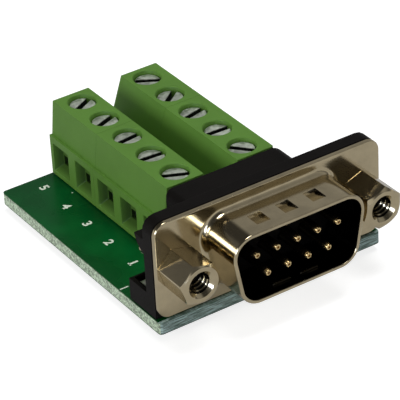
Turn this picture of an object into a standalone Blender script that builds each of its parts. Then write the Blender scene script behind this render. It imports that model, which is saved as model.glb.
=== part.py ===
"""D-sub adapter: a nine-way male connector on a small board, with ten screw terminals.

The model is built about the centre of the connector's D, at the front of its flange: X runs
along the flange, Y runs back over the board and Z is up. A parent empty then stands it on its
solder tails, centred over the origin. All sizes are in metres and all angles in radians.
"""

import math

import bmesh
import bpy
from mathutils import Vector

# Running and seating clearances
SEAT_GAP = 0.0002
RUN_GAP = 0.0002
THREAD_GAP = 0.00012

# Connector face: the standard nine-way flange. Jackscrews, 25.0 mm apart, and D stand in from its ends
FLANGE_WIDTH = 0.0308
FLANGE_HEIGHT = 0.0125
FLANGE_THICKNESS = 0.0005
FLANGE_CORNER = 0.0016
JACK_INSET = 0.0029
D_INSET = 0.00694
D_HEIGHT = 0.00836
D_CORNER = 0.0022
D_SLANT = math.radians(10)
D_DEPTH = 0.0059
SHELL_WALL = 0.00045
SHELL_ROOT = 0.0008
RIM_ROUND = 0.00012
ROOT_START = math.radians(8)

# Grounding dimples pressed into the shell's long sides, spaced by a share of the D's width
UPPER_DIMPLES = 3
LOWER_DIMPLES = 2
DIMPLE_SHARE = 0.2246
DIMPLE_WIDTH = 0.0018
DIMPLE_LENGTH = 0.0022
DIMPLE_DEPTH = 0.00035
DIMPLE_START = 0.0022
DIMPLE_WALL = 0.00036

# Contact pins, 2.77 mm apart in each row: the outer ones stand in from the D's ends.
# The tip is (length, radius) pairs, both as shares of the pin's radius
PIN_INSET = 0.00292
PIN_ROW = 0.00284
UPPER_PINS = 5
LOWER_PINS = 4
PIN_RADIUS = 0.0005
PIN_REACH = 0.0055
PIN_TAIL_RADIUS = 0.00035
PIN_STEP = 0.0008
PIN_TIP = ((0.0, 0.4), (0.3, 0.8), (1.0, 1.0))
PIN_BEND = 0.0009
TAIL_ROW = 0.0081

# Board
BOARD_THICKNESS = 0.0016
BOARD_CORNER = 0.0004
FLANGE_LIFT = 0.00035
TAIL_LENGTH = 0.001
PIN_HOLE_GAP = 0.00015
LOCK_HOLE_RADIUS = 0.0016

# Connector housing, one moulding behind the flange; its core stands in from the jackscrews
EAR_THICKNESS = 0.0018
CORE_INSET = 0.0042
CORE_BACK = 0.0095
CORE_HEIGHT = 0.01
CORE_CORNER = 0.0012
HOOD_TOP = 0.0035
HOOD_RADIUS = 0.0031
HOOD_BACK = 0.0044
HOOD_DROP = 0.0008
FOOT_HEIGHT = 0.003
FOOT_BACK = 0.0061
FACE_RECESS = 0.0002

# Jackscrews and the clinch nuts that they screw into
HEX_FLATS = 0.00475
JACK_LENGTH = 0.0045
JACK_TURNS = (math.radians(48), math.radians(20))
JACK_CHAMFER = 0.00035
JACK_FACE_RADIUS = 0.0022
THREAD_RADIUS = 0.0014
JACK_BORE_RADIUS = 0.00125
JACK_BORE_DEPTH = 0.0037
JACK_COUNTERSINK = 0.00045
STUD_REACH = 0.0062
STUD_CHAMFER = 0.0003
NUT_RADIUS = 0.0019
NUT_THICKNESS = 0.0008
NUT_CHAMFER = 0.00015

# Board locks: bent straps under the nuts, with split legs through the board
LOCK_SHEET = 0.0004
LOCK_WIDTH = 0.0042
LOCK_TOP = 0.0024
LOCK_BEND = 0.0007
LOCK_LEG_Y = 0.0052
LOCK_LEG_WIDTH = 0.0026
LOCK_BARB = 0.00035
LOCK_SLIT = 0.0009
GROOVE_DEPTH = 0.0008

# Terminal rows: each side has a two-pole block behind a three-pole block
TERMINAL_PITCH = 0.00508
FRONT_POLES = 3
REAR_POLES = 2
ROW_INNER = 0.00035
ROW_DEPTH = 0.00795
TOP_WIDTH = 0.00507
TOP_INNER = 0.00236
INNER_KNEE = 0.0042
LEDGE_HEIGHT = 0.00556
LEDGE_STEP = 0.0004
SCREW_OFFSET = 0.00466

# Clamp inside each pole, from the board up
CAGE_LIFT = 0.00025
CAGE_SIZE = 0.0036
CAGE_LENGTH = 0.004
CAGE_FLOOR = 0.0006
CAGE_NUT = 0.001
CAGE_WALL = 0.0005
WIRE_HEIGHT = 0.0025
CLAMP_TRAVEL = 0.002
SHOULDER = 0.00075
SCREW_HEAD_RADIUS = 0.0016
SCREW_HEAD_HEIGHT = 0.0012
SCREW_RADIUS = 0.00125
SLOT_WIDTH = 0.0006
SLOT_DEPTH = 0.0006
WELL_GAP = 0.00015
WELL_RECESS = 0.0005
TONGUE_SHEET = 0.0006
TONGUE_WIDTH = 0.0022
TONGUE_TRIM = 0.00005
LEG_WIDTH = 0.0014

# Wire entry: a slightly tapered recess with a smaller hole in its floor
MOUTH_WIDTH = 0.0034
MOUTH_TOP = 0.00455
MOUTH_BOTTOM = 0.0008
MOUTH_DEPTH = 0.0012
MOUTH_TAPER = 0.00005
ENTRY_WIDTH = 0.0026
ENTRY_TOP = 0.0027
ENTRY_BOTTOM = 0.0009

# Screw slot directions, front pole first
SLOT_TURNS = {
    "left": [math.radians(a) for a in (-26, -4, 6, 21, 29)],
    "right": [math.radians(a) for a in (-50, -2, 13, 38, -31)],
}
SIDES = {"left": -1, "right": 1}

# Sizes that follow from the ones above
D_WIDTH = FLANGE_WIDTH - 2 * D_INSET
DIMPLE_SPACING = D_WIDTH * DIMPLE_SHARE
PIN_PITCH = (D_WIDTH - 2 * PIN_INSET) / (UPPER_PINS - 1)
JACK_OUT = FLANGE_WIDTH / 2 - JACK_INSET
CORE_HALF_WIDTH = JACK_OUT - CORE_INSET
BOARD_TOP = -(FLANGE_HEIGHT / 2 + FLANGE_LIFT)
BOARD_BOTTOM = BOARD_TOP - BOARD_THICKNESS
TAIL_END = BOARD_BOTTOM - TAIL_LENGTH
EAR_FRONT = FLANGE_THICKNESS + SEAT_GAP
EAR_BACK = EAR_FRONT + EAR_THICKNESS
ROW_FRONT = CORE_BACK + SEAT_GAP
BOARD_BACK = ROW_FRONT + (FRONT_POLES + REAR_POLES) * TERMINAL_PITCH
PIECE_BASE = BOARD_TOP + SEAT_GAP
STRAP_FRONT = EAR_BACK + SEAT_GAP
NUT_FRONT = STRAP_FRONT + LOCK_SHEET + SEAT_GAP
NUT_BACK = NUT_FRONT + NUT_THICKNESS
HEX_RADIUS = HEX_FLATS / 2 / math.cos(math.pi / 6)
FOOT_TOP = BOARD_TOP + FOOT_HEIGHT
GROOVE_FLOOR = FOOT_TOP - GROOVE_DEPTH

# Heights in the clamp, measured from the centre of the D as all heights are
CAGE_BASE = BOARD_TOP + CAGE_LIFT
TONGUE_BOTTOM = CAGE_BASE + CAGE_FLOOR + WIRE_HEIGHT
TONGUE_TOP = TONGUE_BOTTOM + TONGUE_SHEET
CAGE_NUT_BASE = TONGUE_TOP + RUN_GAP
CAGE_TOP = CAGE_NUT_BASE + CAGE_NUT
CAVITY_TOP = CAGE_TOP + CLAMP_TRAVEL + RUN_GAP
WELL_FLOOR = CAVITY_TOP + SHOULDER
HEAD_BASE = WELL_FLOOR + RUN_GAP
HEAD_TOP = HEAD_BASE + SCREW_HEAD_HEIGHT
ROW_TOP = HEAD_TOP + WELL_RECESS
LEDGE_Z = BOARD_TOP + LEDGE_HEIGHT
ROW_OUTER = ROW_INNER + ROW_DEPTH
LEG_OUTER = SCREW_OFFSET - CAGE_SIZE / 2 - RUN_GAP
LEG_INNER = LEG_OUTER - TONGUE_SHEET

OVERCUT = 0.0005
CRISP_ANGLE = math.radians(32)


def clear_scene():
    """Start from an empty scene."""
    for obj in list(bpy.data.objects):
        bpy.data.objects.remove(obj)


def material(name, color, roughness, metallic):
    """A Principled material with one colour."""
    made = bpy.data.materials.new(name)
    made.use_nodes = True
    shader = made.node_tree.nodes["Principled BSDF"]
    shader.inputs["Base Color"].default_value = (*color, 1)
    shader.inputs["Roughness"].default_value = roughness
    shader.inputs["Metallic"].default_value = metallic
    return made


def finish_mesh(bm, name):
    """The shape as a smooth mesh, with its faces pointing out."""
    bmesh.ops.recalc_face_normals(bm, faces=bm.faces)
    mesh = bpy.data.meshes.new(name)
    bm.to_mesh(mesh)
    bm.free()
    mesh.shade_smooth()
    return mesh


def sharpen_edges():
    """Keep every edge crisp that turns by more than the steps of a round side."""
    for obj in bpy.data.objects:
        if obj.type == "MESH" and not obj.hide_render:
            split = obj.modifiers.new("crisp_edges", "EDGE_SPLIT")
            split.split_angle = CRISP_ANGLE


def sub_part(name, bm, look, stand, location=(0, 0, 0), turn=0.0):
    """A visible piece, carried by the empty that stands the adapter up."""
    obj = bpy.data.objects.new(name, finish_mesh(bm, name))
    obj.data.materials.append(look)
    obj.parent = stand
    obj.location = location
    obj.rotation_euler.z = turn
    bpy.context.scene.collection.objects.link(obj)
    return obj


def shape_with(target, operation, name, bm):
    """Join a helper shape to the target, or cut it away, with a Boolean."""
    helper = bpy.data.objects.new(f"{target.name}_{name}", finish_mesh(bm, name))
    helper.hide_render = True
    helper.display_type = "WIRE"
    helper.parent = target.parent
    helper.location = target.location
    helper.rotation_euler = target.rotation_euler
    bpy.context.scene.collection.objects.link(helper)
    boolean = target.modifiers.new(name, "BOOLEAN")
    boolean.operation = operation
    boolean.solver = "EXACT"
    boolean.object = helper


def rounded_outline(corners, radii, steps=4):
    """The corners' outline, with an arc in place of each corner that has a radius."""
    outline = []
    for index, (corner, radius) in enumerate(zip(corners, radii)):
        here = Vector(corner)
        if radius == 0:
            outline.append(here)
            continue
        before = (Vector(corners[index - 1]) - here).normalized()
        after = (Vector(corners[(index + 1) % len(corners)]) - here).normalized()
        half = before.angle(after) / 2
        centre = here + (before + after).normalized() * radius / math.sin(half)
        start = here + before * radius / math.tan(half) - centre
        end = here + after * radius / math.tan(half) - centre
        sweep = math.atan2(start.x * end.y - start.y * end.x, start.dot(end))
        for step in range(steps + 1):
            turn = sweep * step / steps
            x = start.x * math.cos(turn) - start.y * math.sin(turn)
            y = start.x * math.sin(turn) + start.y * math.cos(turn)
            outline.append(centre + Vector((x, y)))
    return outline


def rectangle(x_low, x_high, y_low, y_high):
    """The corners of a rectangle, counter-clockwise."""
    return [(x_low, y_low), (x_high, y_low), (x_high, y_high), (x_low, y_high)]


def circle(radius, sides, centre=(0, 0), turn=0.0):
    """Points round a circle, or the corners of a polygon such as a hexagon."""
    angles = [turn + 2 * math.pi * side / sides for side in range(sides)]
    return [(centre[0] + radius * math.cos(a), centre[1] + radius * math.sin(a)) for a in angles]


def on_axis(axis, across, up, along):
    """The point with these section coordinates, this far along an axis."""
    points = {"X": (along, across, up), "Y": (across, along, up), "Z": (across, up, along)}
    return points[axis]


def add_loft(bm, rings):
    """A closed body through rings of 3D points, flat at both ends."""
    loops = []
    for ring in rings:
        verts = [bm.verts.new(point) for point in ring]
        pairs = zip(verts, verts[1:] + verts[:1])
        loops.append((verts, [bm.edges.new(pair) for pair in pairs]))
    for (_, near), (_, far) in zip(loops, loops[1:]):
        bmesh.ops.bridge_loops(bm, edges=near + far)
    bm.faces.new(loops[0][0])
    bm.faces.new(loops[-1][0])


def add_prism(bm, outline, axis, low, high):
    """An outline extruded along an axis."""
    add_loft(bm, [[on_axis(axis, *point, along) for point in outline] for along in (low, high)])


def add_turned(bm, profile, sides, centre, turn=0.0):
    """A body turned about a line along Y, from (radius, y) pairs."""
    rings = []
    for radius, y in profile:
        rings.append([on_axis("Y", *p, y) for p in circle(radius, sides, centre, turn)])
    add_loft(bm, rings)


def add_box(bm, x_range, y_range, z_range):
    """A box between two limits on each axis."""
    add_prism(bm, rectangle(*sorted(x_range), *y_range), "Z", *z_range)


def add_tube(bm, x, path, radii, sides):
    """A round bar along a path of (y, z) points, all at the same x."""
    rings = []
    for index, point in enumerate(path):
        before = Vector(path[max(index - 1, 0)])
        after = Vector(path[min(index + 1, len(path) - 1)])
        along = (after - before).normalized()
        across = Vector((-along.y, along.x))
        ring = []
        for a, b in circle(radii[index], sides, turn=math.pi / sides):
            y, z = Vector(point) + across * b
            ring.append((x + a, y, z))
        rings.append(ring)
    add_loft(bm, rings)


def make(build, *values):
    """A new shape, built by one of the functions above."""
    bm = bmesh.new()
    build(bm, *values)
    return bm


def d_outline(offset):
    """The D as (x, z) points, grown by an offset from the inside of the shell."""
    radius = D_CORNER + offset
    half_height = D_HEIGHT / 2 + offset
    slope = math.tan(D_SLANT)
    rounding = math.cos(D_SLANT) - 1 + (1 + math.sin(D_SLANT)) * slope
    top = D_WIDTH / 2 + offset + radius * rounding
    bottom = top - 2 * half_height * slope
    corners = [(-bottom, -half_height), (bottom, -half_height), (top, half_height), (-top, half_height)]
    return rounded_outline(corners, [radius] * 4, steps=5)


def d_rings(sections):
    """Rings of the D at each (offset, y) section."""
    return [[on_axis("Y", *point, y) for point in d_outline(offset)] for offset, y in sections]


def jack_x(side):
    """How far left or right a jackscrew stands."""
    return SIDES[side] * JACK_OUT


def pole_y(pole):
    """The middle of a pole, counted from the front."""
    return ROW_FRONT + (pole + 0.5) * TERMINAL_PITCH


def pin_places():
    """Each pin's x and height, and how far back its tail goes down."""
    places = []
    for pin in range(UPPER_PINS):
        places.append(((pin - (UPPER_PINS - 1) / 2) * PIN_PITCH, PIN_ROW / 2, TAIL_ROW))
    for pin in range(LOWER_PINS):
        places.append(((pin - (LOWER_PINS - 1) / 2) * PIN_PITCH, -PIN_ROW / 2, TAIL_ROW - PIN_ROW))
    return places


def bent_path(front, z, tail_y, end, steps):
    """A path straight back at one height, round a bend and down to its end."""
    path = [(front, z)]
    for step in range(steps + 1):
        turn = math.pi / 2 * step / steps
        y = tail_y - PIN_BEND + PIN_BEND * math.sin(turn)
        path.append((y, z - PIN_BEND + PIN_BEND * math.cos(turn)))
    return path + [(tail_y, end)]


def shell_root_arc(radius, first, last, steps=4):
    """The (offset, y) sections round the bend between the flange and the D."""
    centre_offset = SHELL_WALL + SHELL_ROOT
    centre_y = FLANGE_THICKNESS - SHELL_WALL - SHELL_ROOT
    sections = []
    for step in range(steps + 1):
        turn = first + (last - first) * step / steps
        sections.append((centre_offset - radius * math.sin(turn), centre_y + radius * math.cos(turn)))
    return sections


def dimple_profile(surface, depth, start, length, lift):
    """A wedge in (y, z): deep at its back and running out towards the rim."""
    return [
        (-start, surface + lift),
        (-start, surface - depth),
        (-start - length, surface),
        (-start - length, surface + lift),
    ]


def add_dimples(bm, surface, depth, start, length, width, lift):
    """The wedges of both long sides, cut from above and below."""
    for count, flip in ((UPPER_DIMPLES, 1), (LOWER_DIMPLES, -1)):
        profile = dimple_profile(surface, depth, start, length, lift)
        profile = [(y, flip * z) for y, z in profile]
        for dimple in range(count):
            x = (dimple - (count - 1) / 2) * DIMPLE_SPACING
            add_prism(bm, profile, "X", x - width / 2, x + width / 2)


def dsub_shell(stand, look):
    """The drawn steel shell: a flange, a D with a rolled root, and pressed dimples."""
    half = (FLANGE_WIDTH / 2, FLANGE_HEIGHT / 2)
    corners = rectangle(-half[0], half[0], -half[1], half[1])
    flange = rounded_outline(corners, [FLANGE_CORNER] * 4, steps=5)
    bm = make(add_prism, flange, "Y", 0, FLANGE_THICKNESS)
    shell = sub_part("dsub_shell", bm, look, stand)
    quarter = math.pi / 2
    outside = [(SHELL_WALL + SHELL_ROOT, FLANGE_THICKNESS / 2)]
    outside += shell_root_arc(SHELL_ROOT, 0, quarter)
    outside.append((SHELL_WALL, RIM_ROUND - D_DEPTH))
    outside.append((SHELL_WALL - RIM_ROUND, -D_DEPTH))
    shape_with(shell, "UNION", "drawn_d", make(add_loft, d_rings(outside)))
    inside = [(SHELL_WALL + SHELL_ROOT, FLANGE_THICKNESS + OVERCUT)]
    inside += shell_root_arc(SHELL_ROOT + SHELL_WALL, ROOT_START, quarter)
    inside.append((0, -D_DEPTH - OVERCUT))
    shape_with(shell, "DIFFERENCE", "inside", make(add_loft, d_rings(inside)))
    inner = D_HEIGHT / 2
    bumps = (inner, DIMPLE_DEPTH, DIMPLE_START - DIMPLE_WALL, DIMPLE_LENGTH + 2 * DIMPLE_WALL)
    bumps += (DIMPLE_WIDTH + 2 * DIMPLE_WALL, SHELL_WALL / 2)
    shape_with(shell, "UNION", "bumps", make(add_dimples, *bumps))
    dents = (inner + SHELL_WALL, DIMPLE_DEPTH, DIMPLE_START, DIMPLE_LENGTH, DIMPLE_WIDTH, OVERCUT)
    shape_with(shell, "DIFFERENCE", "dents", make(add_dimples, *dents))
    holes = bmesh.new()
    for side in SIDES:
        hole = [(THREAD_RADIUS + RUN_GAP, -OVERCUT), (THREAD_RADIUS + RUN_GAP, FLANGE_THICKNESS + OVERCUT)]
        add_turned(holes, hole, 16, (jack_x(side), 0))
    shape_with(shell, "DIFFERENCE", "jack_holes", holes)


def hood_outline(steps=6):
    """The hood from its side: a flat top, and a round back that sweeps down to the ear."""
    centre = (HOOD_BACK - HOOD_RADIUS, HOOD_TOP + HOOD_DROP)
    first = -math.asin(HOOD_DROP / HOOD_RADIUS)
    last = -math.acos((EAR_BACK - centre[0]) / HOOD_RADIUS)
    outline = [(EAR_BACK - OVERCUT, HOOD_TOP)]
    for step in range(steps + 1):
        turn = first + (last - first) * step / steps
        outline.append((centre[0] + HOOD_RADIUS * math.cos(turn), centre[1] + HOOD_RADIUS * math.sin(turn)))
    outline.append((EAR_BACK - OVERCUT, outline[-1][1]))
    return outline


def add_hoods(bm):
    """The roof over each nut."""
    outline = hood_outline()
    for sign in SIDES.values():
        reach = sorted((sign * (CORE_HALF_WIDTH - OVERCUT), sign * FLANGE_WIDTH / 2))
        add_prism(bm, outline, "X", *reach)


def add_feet(bm):
    """The foot of each ear, which stands on the board."""
    for sign in SIDES.values():
        reach = (sign * (CORE_HALF_WIDTH - OVERCUT), sign * FLANGE_WIDTH / 2)
        add_box(bm, reach, (EAR_BACK - OVERCUT, FOOT_BACK), (PIECE_BASE, FOOT_TOP))


def add_lock_grooves(bm):
    """The groove along each foot that the strap lies in, open at the top."""
    for side in SIDES:
        x, half = jack_x(side), LOCK_WIDTH / 2 + SEAT_GAP
        back = LOCK_LEG_Y + LOCK_SHEET + SEAT_GAP
        add_box(bm, (x - half, x + half), (EAR_BACK, back), (GROOVE_FLOOR, FOOT_TOP + OVERCUT))


def add_lock_slots(bm):
    """The slot down through each foot for the strap's leg."""
    for side in SIDES:
        x, half = jack_x(side), LOCK_LEG_WIDTH / 2 + SEAT_GAP
        front = LOCK_LEG_Y - LOCK_SHEET / 2 - SEAT_GAP
        back = LOCK_LEG_Y + LOCK_SHEET / 2 + SEAT_GAP
        add_box(bm, (x - half, x + half), (front, back), (PIECE_BASE - OVERCUT, GROOVE_FLOOR + OVERCUT))


def add_strap_spaces(bm):
    """Room for each strap's upright, between the ear and the nut."""
    for side in SIDES:
        x, half = jack_x(side), LOCK_WIDTH / 2 + SEAT_GAP
        add_box(bm, (x - half, x + half), (EAR_BACK, NUT_FRONT), (0, LOCK_TOP + SEAT_GAP))


def add_nut_spaces(bm):
    """Room for each nut under its hood."""
    for side in SIDES:
        radius = NUT_RADIUS + SEAT_GAP
        add_turned(bm, [(radius, EAR_BACK), (radius, HOOD_BACK + OVERCUT)], 24, (jack_x(side), 0))


def add_stud_holes(bm):
    """The hole through each ear for the jackscrew's stud."""
    for side in SIDES:
        radius = THREAD_RADIUS + RUN_GAP
        hole = [(radius, EAR_FRONT - OVERCUT), (radius, EAR_BACK + OVERCUT)]
        add_turned(bm, hole, 16, (jack_x(side), 0))


def add_pin_tunnels(bm):
    """The bent hole that holds each pin, from the D's floor to the board."""
    radius = PIN_RADIUS + THREAD_GAP
    for x, z, tail_y in pin_places():
        path = bent_path(-FACE_RECESS - OVERCUT, z, tail_y, PIECE_BASE - OVERCUT, 3)
        add_tube(bm, x, path, [radius] * len(path), 8)


def connector_housing(stand, look):
    """The black moulding: ears, pin block, hoods over the nuts and feet on the board."""
    half = FLANGE_WIDTH / 2
    corners = rectangle(-half, half, PIECE_BASE, FLANGE_HEIGHT / 2)
    ear = rounded_outline(corners, [0, 0, FLANGE_CORNER, FLANGE_CORNER])
    housing = sub_part("connector_housing", make(add_prism, ear, "Y", EAR_FRONT, EAR_BACK), look, stand)
    corners = rectangle(-CORE_HALF_WIDTH, CORE_HALF_WIDTH, EAR_BACK - OVERCUT, CORE_BACK)
    core = rounded_outline(corners, [0, 0, CORE_CORNER, CORE_CORNER])
    core_top = BOARD_TOP + CORE_HEIGHT
    shape_with(housing, "UNION", "core", make(add_prism, core, "Z", PIECE_BASE, core_top))
    nose = d_rings([(-RUN_GAP, -FACE_RECESS), (-RUN_GAP, EAR_FRONT + OVERCUT)])
    shape_with(housing, "UNION", "nose", make(add_loft, nose))
    shape_with(housing, "UNION", "hoods", make(add_hoods))
    shape_with(housing, "UNION", "feet", make(add_feet))
    shape_with(housing, "DIFFERENCE", "lock_grooves", make(add_lock_grooves))
    shape_with(housing, "DIFFERENCE", "lock_slots", make(add_lock_slots))
    shape_with(housing, "DIFFERENCE", "strap_spaces", make(add_strap_spaces))
    shape_with(housing, "DIFFERENCE", "nut_spaces", make(add_nut_spaces))
    shape_with(housing, "DIFFERENCE", "stud_holes", make(add_stud_holes))
    shape_with(housing, "DIFFERENCE", "pin_tunnels", make(add_pin_tunnels))


def contact_pins(stand, look):
    """Nine right-angle pins: a thick rounded front, a step, and a thinner bent tail."""
    for number, (x, z, tail_y) in enumerate(pin_places(), start=1):
        path = [(length * PIN_RADIUS - PIN_REACH, z) for length, _ in PIN_TIP] + [(PIN_STEP, z)]
        radii = [share * PIN_RADIUS for _, share in PIN_TIP] + [PIN_RADIUS]
        bend = bent_path(PIN_STEP + PIN_RADIUS / 2, z, tail_y, TAIL_END, 4)
        path += bend
        radii += [PIN_TAIL_RADIUS] * len(bend)
        bm = make(add_tube, x, path, radii, 12)
        sub_part(f"contact_pin_{number}", bm, look, stand)


def jackscrew(side, turn, stand, look):
    """A hexagonal standoff with a threaded hole in front and a stud behind."""
    centre = (jack_x(side), 0)
    front = -SEAT_GAP - JACK_LENGTH
    bm = bmesh.new()
    add_prism(bm, circle(HEX_RADIUS, 6, centre, turn), "Y", front, -SEAT_GAP)
    screw = sub_part(f"jackscrew_{side}", bm, look, stand)
    flare = (HEX_RADIUS - JACK_FACE_RADIUS) / JACK_CHAMFER
    ahead = JACK_CHAMFER / 2
    barrel = [
        (JACK_FACE_RADIUS - ahead * flare, front - ahead),
        (HEX_RADIUS + ahead * flare, front + JACK_CHAMFER + ahead),
        (HEX_RADIUS + ahead * flare, OVERCUT),
    ]
    shape_with(screw, "INTERSECT", "front_chamfer", make(add_turned, barrel, 24, centre))
    stud = [
        (THREAD_RADIUS, -SEAT_GAP - OVERCUT),
        (THREAD_RADIUS, STUD_REACH - STUD_CHAMFER),
        (THREAD_RADIUS - STUD_CHAMFER, STUD_REACH),
    ]
    shape_with(screw, "UNION", "stud", make(add_turned, stud, 16, centre))
    bore = [
        (JACK_BORE_RADIUS + JACK_COUNTERSINK + OVERCUT, front - OVERCUT),
        (JACK_BORE_RADIUS, front + JACK_COUNTERSINK),
        (JACK_BORE_RADIUS, front + JACK_BORE_DEPTH),
    ]
    shape_with(screw, "DIFFERENCE", "threaded_hole", make(add_turned, bore, 16, centre))


def clinch_nut(side, stand, look):
    """The round nut behind the strap: the jackscrew's stud clamps the whole stack against it."""
    centre = (jack_x(side), 0)
    body = [
        (NUT_RADIUS, NUT_FRONT),
        (NUT_RADIUS, NUT_BACK - NUT_CHAMFER),
        (NUT_RADIUS - NUT_CHAMFER, NUT_BACK),
    ]
    nut = sub_part(f"clinch_nut_{side}", make(add_turned, body, 20, centre), look, stand)
    radius = THREAD_RADIUS + THREAD_GAP
    hole = [(radius, NUT_FRONT - OVERCUT), (radius, NUT_BACK + OVERCUT)]
    shape_with(nut, "DIFFERENCE", "hole", make(add_turned, hole, 16, centre))


def add_lock_trims(bm, x):
    """What is cut from the strap's leg: both flanks, leaving barbs, and the slit."""
    half, tip = LOCK_LEG_WIDTH / 2, LOCK_LEG_WIDTH / 2 - LOCK_BARB
    wide = LOCK_WIDTH / 2 + OVERCUT
    barb = BOARD_BOTTOM - RUN_GAP
    start = GROOVE_FLOOR + SEAT_GAP
    depth = (LOCK_LEG_Y - LOCK_SHEET, LOCK_LEG_Y + LOCK_SHEET)
    for sign in (-1, 1):
        flank = [
            (x + sign * half, start),
            (x + sign * wide, start),
            (x + sign * wide, TAIL_END - OVERCUT),
            (x + sign * tip, TAIL_END - OVERCUT),
            (x + sign * tip, TAIL_END),
            (x + sign * (half + LOCK_BARB), barb - LOCK_BARB),
            (x + sign * half, barb),
        ]
        add_prism(bm, flank, "Y", *depth)
    slit = LOCK_SLIT / 2
    add_box(bm, (x - slit, x + slit), depth, (TAIL_END - OVERCUT, BOARD_TOP))


def board_lock(side, stand, look):
    """A strap behind the ear, bent along the foot and down through the board."""
    x = jack_x(side)
    floor = GROOVE_FLOOR + SEAT_GAP
    leg_front, leg_back = LOCK_LEG_Y - LOCK_SHEET / 2, LOCK_LEG_Y + LOCK_SHEET / 2
    corners = [
        (STRAP_FRONT, floor),
        (leg_front, floor),
        (leg_front, TAIL_END),
        (leg_back, TAIL_END),
        (leg_back, floor + LOCK_SHEET),
        (STRAP_FRONT + LOCK_SHEET, floor + LOCK_SHEET),
        (STRAP_FRONT + LOCK_SHEET, LOCK_TOP),
        (STRAP_FRONT, LOCK_TOP),
    ]
    inside = LOCK_BEND - LOCK_SHEET
    strip = rounded_outline(corners, [LOCK_BEND, inside, 0, 0, LOCK_BEND, inside, 0, 0])
    half = LOCK_WIDTH / 2
    lock = sub_part(f"board_lock_{side}", make(add_prism, strip, "X", x - half, x + half), look, stand)
    shape_with(lock, "DIFFERENCE", "leg_trims", make(add_lock_trims, x))
    radius = THREAD_RADIUS + RUN_GAP
    hole = [(radius, STRAP_FRONT - OVERCUT), (radius, STRAP_FRONT + LOCK_SHEET + OVERCUT)]
    shape_with(lock, "DIFFERENCE", "stud_hole", make(add_turned, hole, 16, (x, 0)))


def add_board_holes(bm):
    """Every hole drilled through the board."""
    low, high = BOARD_BOTTOM - OVERCUT, BOARD_TOP + OVERCUT
    for x, _, tail_y in pin_places():
        add_prism(bm, circle(PIN_TAIL_RADIUS + PIN_HOLE_GAP, 10, (x, tail_y)), "Z", low, high)
    leg_radius = math.hypot(TONGUE_SHEET, LEG_WIDTH) / 2 + PIN_HOLE_GAP
    leg_x = (LEG_INNER + LEG_OUTER) / 2
    for side, sign in SIDES.items():
        lock = circle(LOCK_HOLE_RADIUS, 16, (jack_x(side), LOCK_LEG_Y))
        add_prism(bm, lock, "Z", low, high)
        for pole in range(FRONT_POLES + REAR_POLES):
            leg = circle(leg_radius, 12, (sign * leg_x, pole_y(pole)))
            add_prism(bm, leg, "Z", low, high)


def circuit_board(stand, look):
    """The board, as wide as the flange and as long as the terminal rows."""
    corners = rectangle(-FLANGE_WIDTH / 2, FLANGE_WIDTH / 2, 0, BOARD_BACK)
    outline = rounded_outline(corners, [BOARD_CORNER] * 4, steps=2)
    bm = make(add_prism, outline, "Z", BOARD_BOTTOM, BOARD_TOP)
    board = sub_part("circuit_board", bm, look, stand)
    shape_with(board, "DIFFERENCE", "drilled_holes", make(add_board_holes))


def row_section():
    """A terminal block's end profile, as distances out from the middle and heights."""
    ledge = ROW_OUTER - LEDGE_STEP
    return [
        (ROW_INNER, PIECE_BASE),
        (ROW_OUTER, PIECE_BASE),
        (ROW_OUTER, LEDGE_Z),
        (ledge, LEDGE_Z),
        (TOP_INNER + TOP_WIDTH, ROW_TOP),
        (TOP_INNER, ROW_TOP),
        (ROW_INNER, BOARD_TOP + INNER_KNEE),
    ]


def entry_ring(x, y, width, bottom, top):
    """A rectangle across X, with its lower and upper edge this far above the board."""
    half = width / 2
    corners = ((-half, bottom), (half, bottom), (half, top), (-half, top))
    return [(x, y + across, BOARD_TOP + up) for across, up in corners]


def add_wire_entries(bm, sign, poles):
    """Each pole's tapered recess and the smaller hole in its floor."""
    floor = ROW_OUTER - MOUTH_DEPTH
    narrow = (MOUTH_WIDTH - 2 * MOUTH_TAPER, MOUTH_BOTTOM + MOUTH_TAPER, MOUTH_TOP - MOUTH_TAPER)
    entry = (ENTRY_WIDTH, ENTRY_BOTTOM, ENTRY_TOP)
    mouth = (MOUTH_WIDTH, MOUTH_BOTTOM, MOUTH_TOP)
    sections = ((ROW_OUTER + OVERCUT, mouth), (floor, narrow), (floor, entry), (SCREW_OFFSET, entry))
    for pole in poles:
        add_loft(bm, [entry_ring(sign * out, pole_y(pole), *sizes) for out, sizes in sections])


def add_wells(bm, sign, poles):
    """The round well above each screw."""
    radius = SCREW_HEAD_RADIUS + WELL_GAP
    for pole in poles:
        well = circle(radius, 24, (sign * SCREW_OFFSET, pole_y(pole)))
        add_prism(bm, well, "Z", WELL_FLOOR, ROW_TOP + OVERCUT)


def add_shank_holes(bm, sign, poles):
    """The hole through the shoulder under each screw's head."""
    for pole in poles:
        hole = circle(SCREW_RADIUS + RUN_GAP, 12, (sign * SCREW_OFFSET, pole_y(pole)))
        add_prism(bm, hole, "Z", CAVITY_TOP - OVERCUT, WELL_FLOOR + OVERCUT)


def add_clamp_cavities(bm, sign, poles):
    """The square shaft that each cage rises in, open at the board."""
    half_x = CAGE_SIZE / 2 + RUN_GAP
    half_y = CAGE_LENGTH / 2 + RUN_GAP
    for pole in poles:
        x, y = sign * SCREW_OFFSET, pole_y(pole)
        reach = (x - half_x, x + half_x), (y - half_y, y + half_y)
        add_box(bm, *reach, (PIECE_BASE - OVERCUT, CAVITY_TOP))


def add_leg_slots(bm, sign, poles):
    """The slot beside each shaft for the contact's solder leg."""
    half = LEG_WIDTH / 2 + SEAT_GAP
    inner, outer = LEG_INNER - SEAT_GAP, SCREW_OFFSET - CAGE_SIZE / 2
    for pole in poles:
        y = pole_y(pole)
        reach = (sign * inner, sign * outer), (y - half, y + half)
        add_box(bm, *reach, (PIECE_BASE - OVERCUT, TONGUE_TOP + SEAT_GAP))


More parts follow.
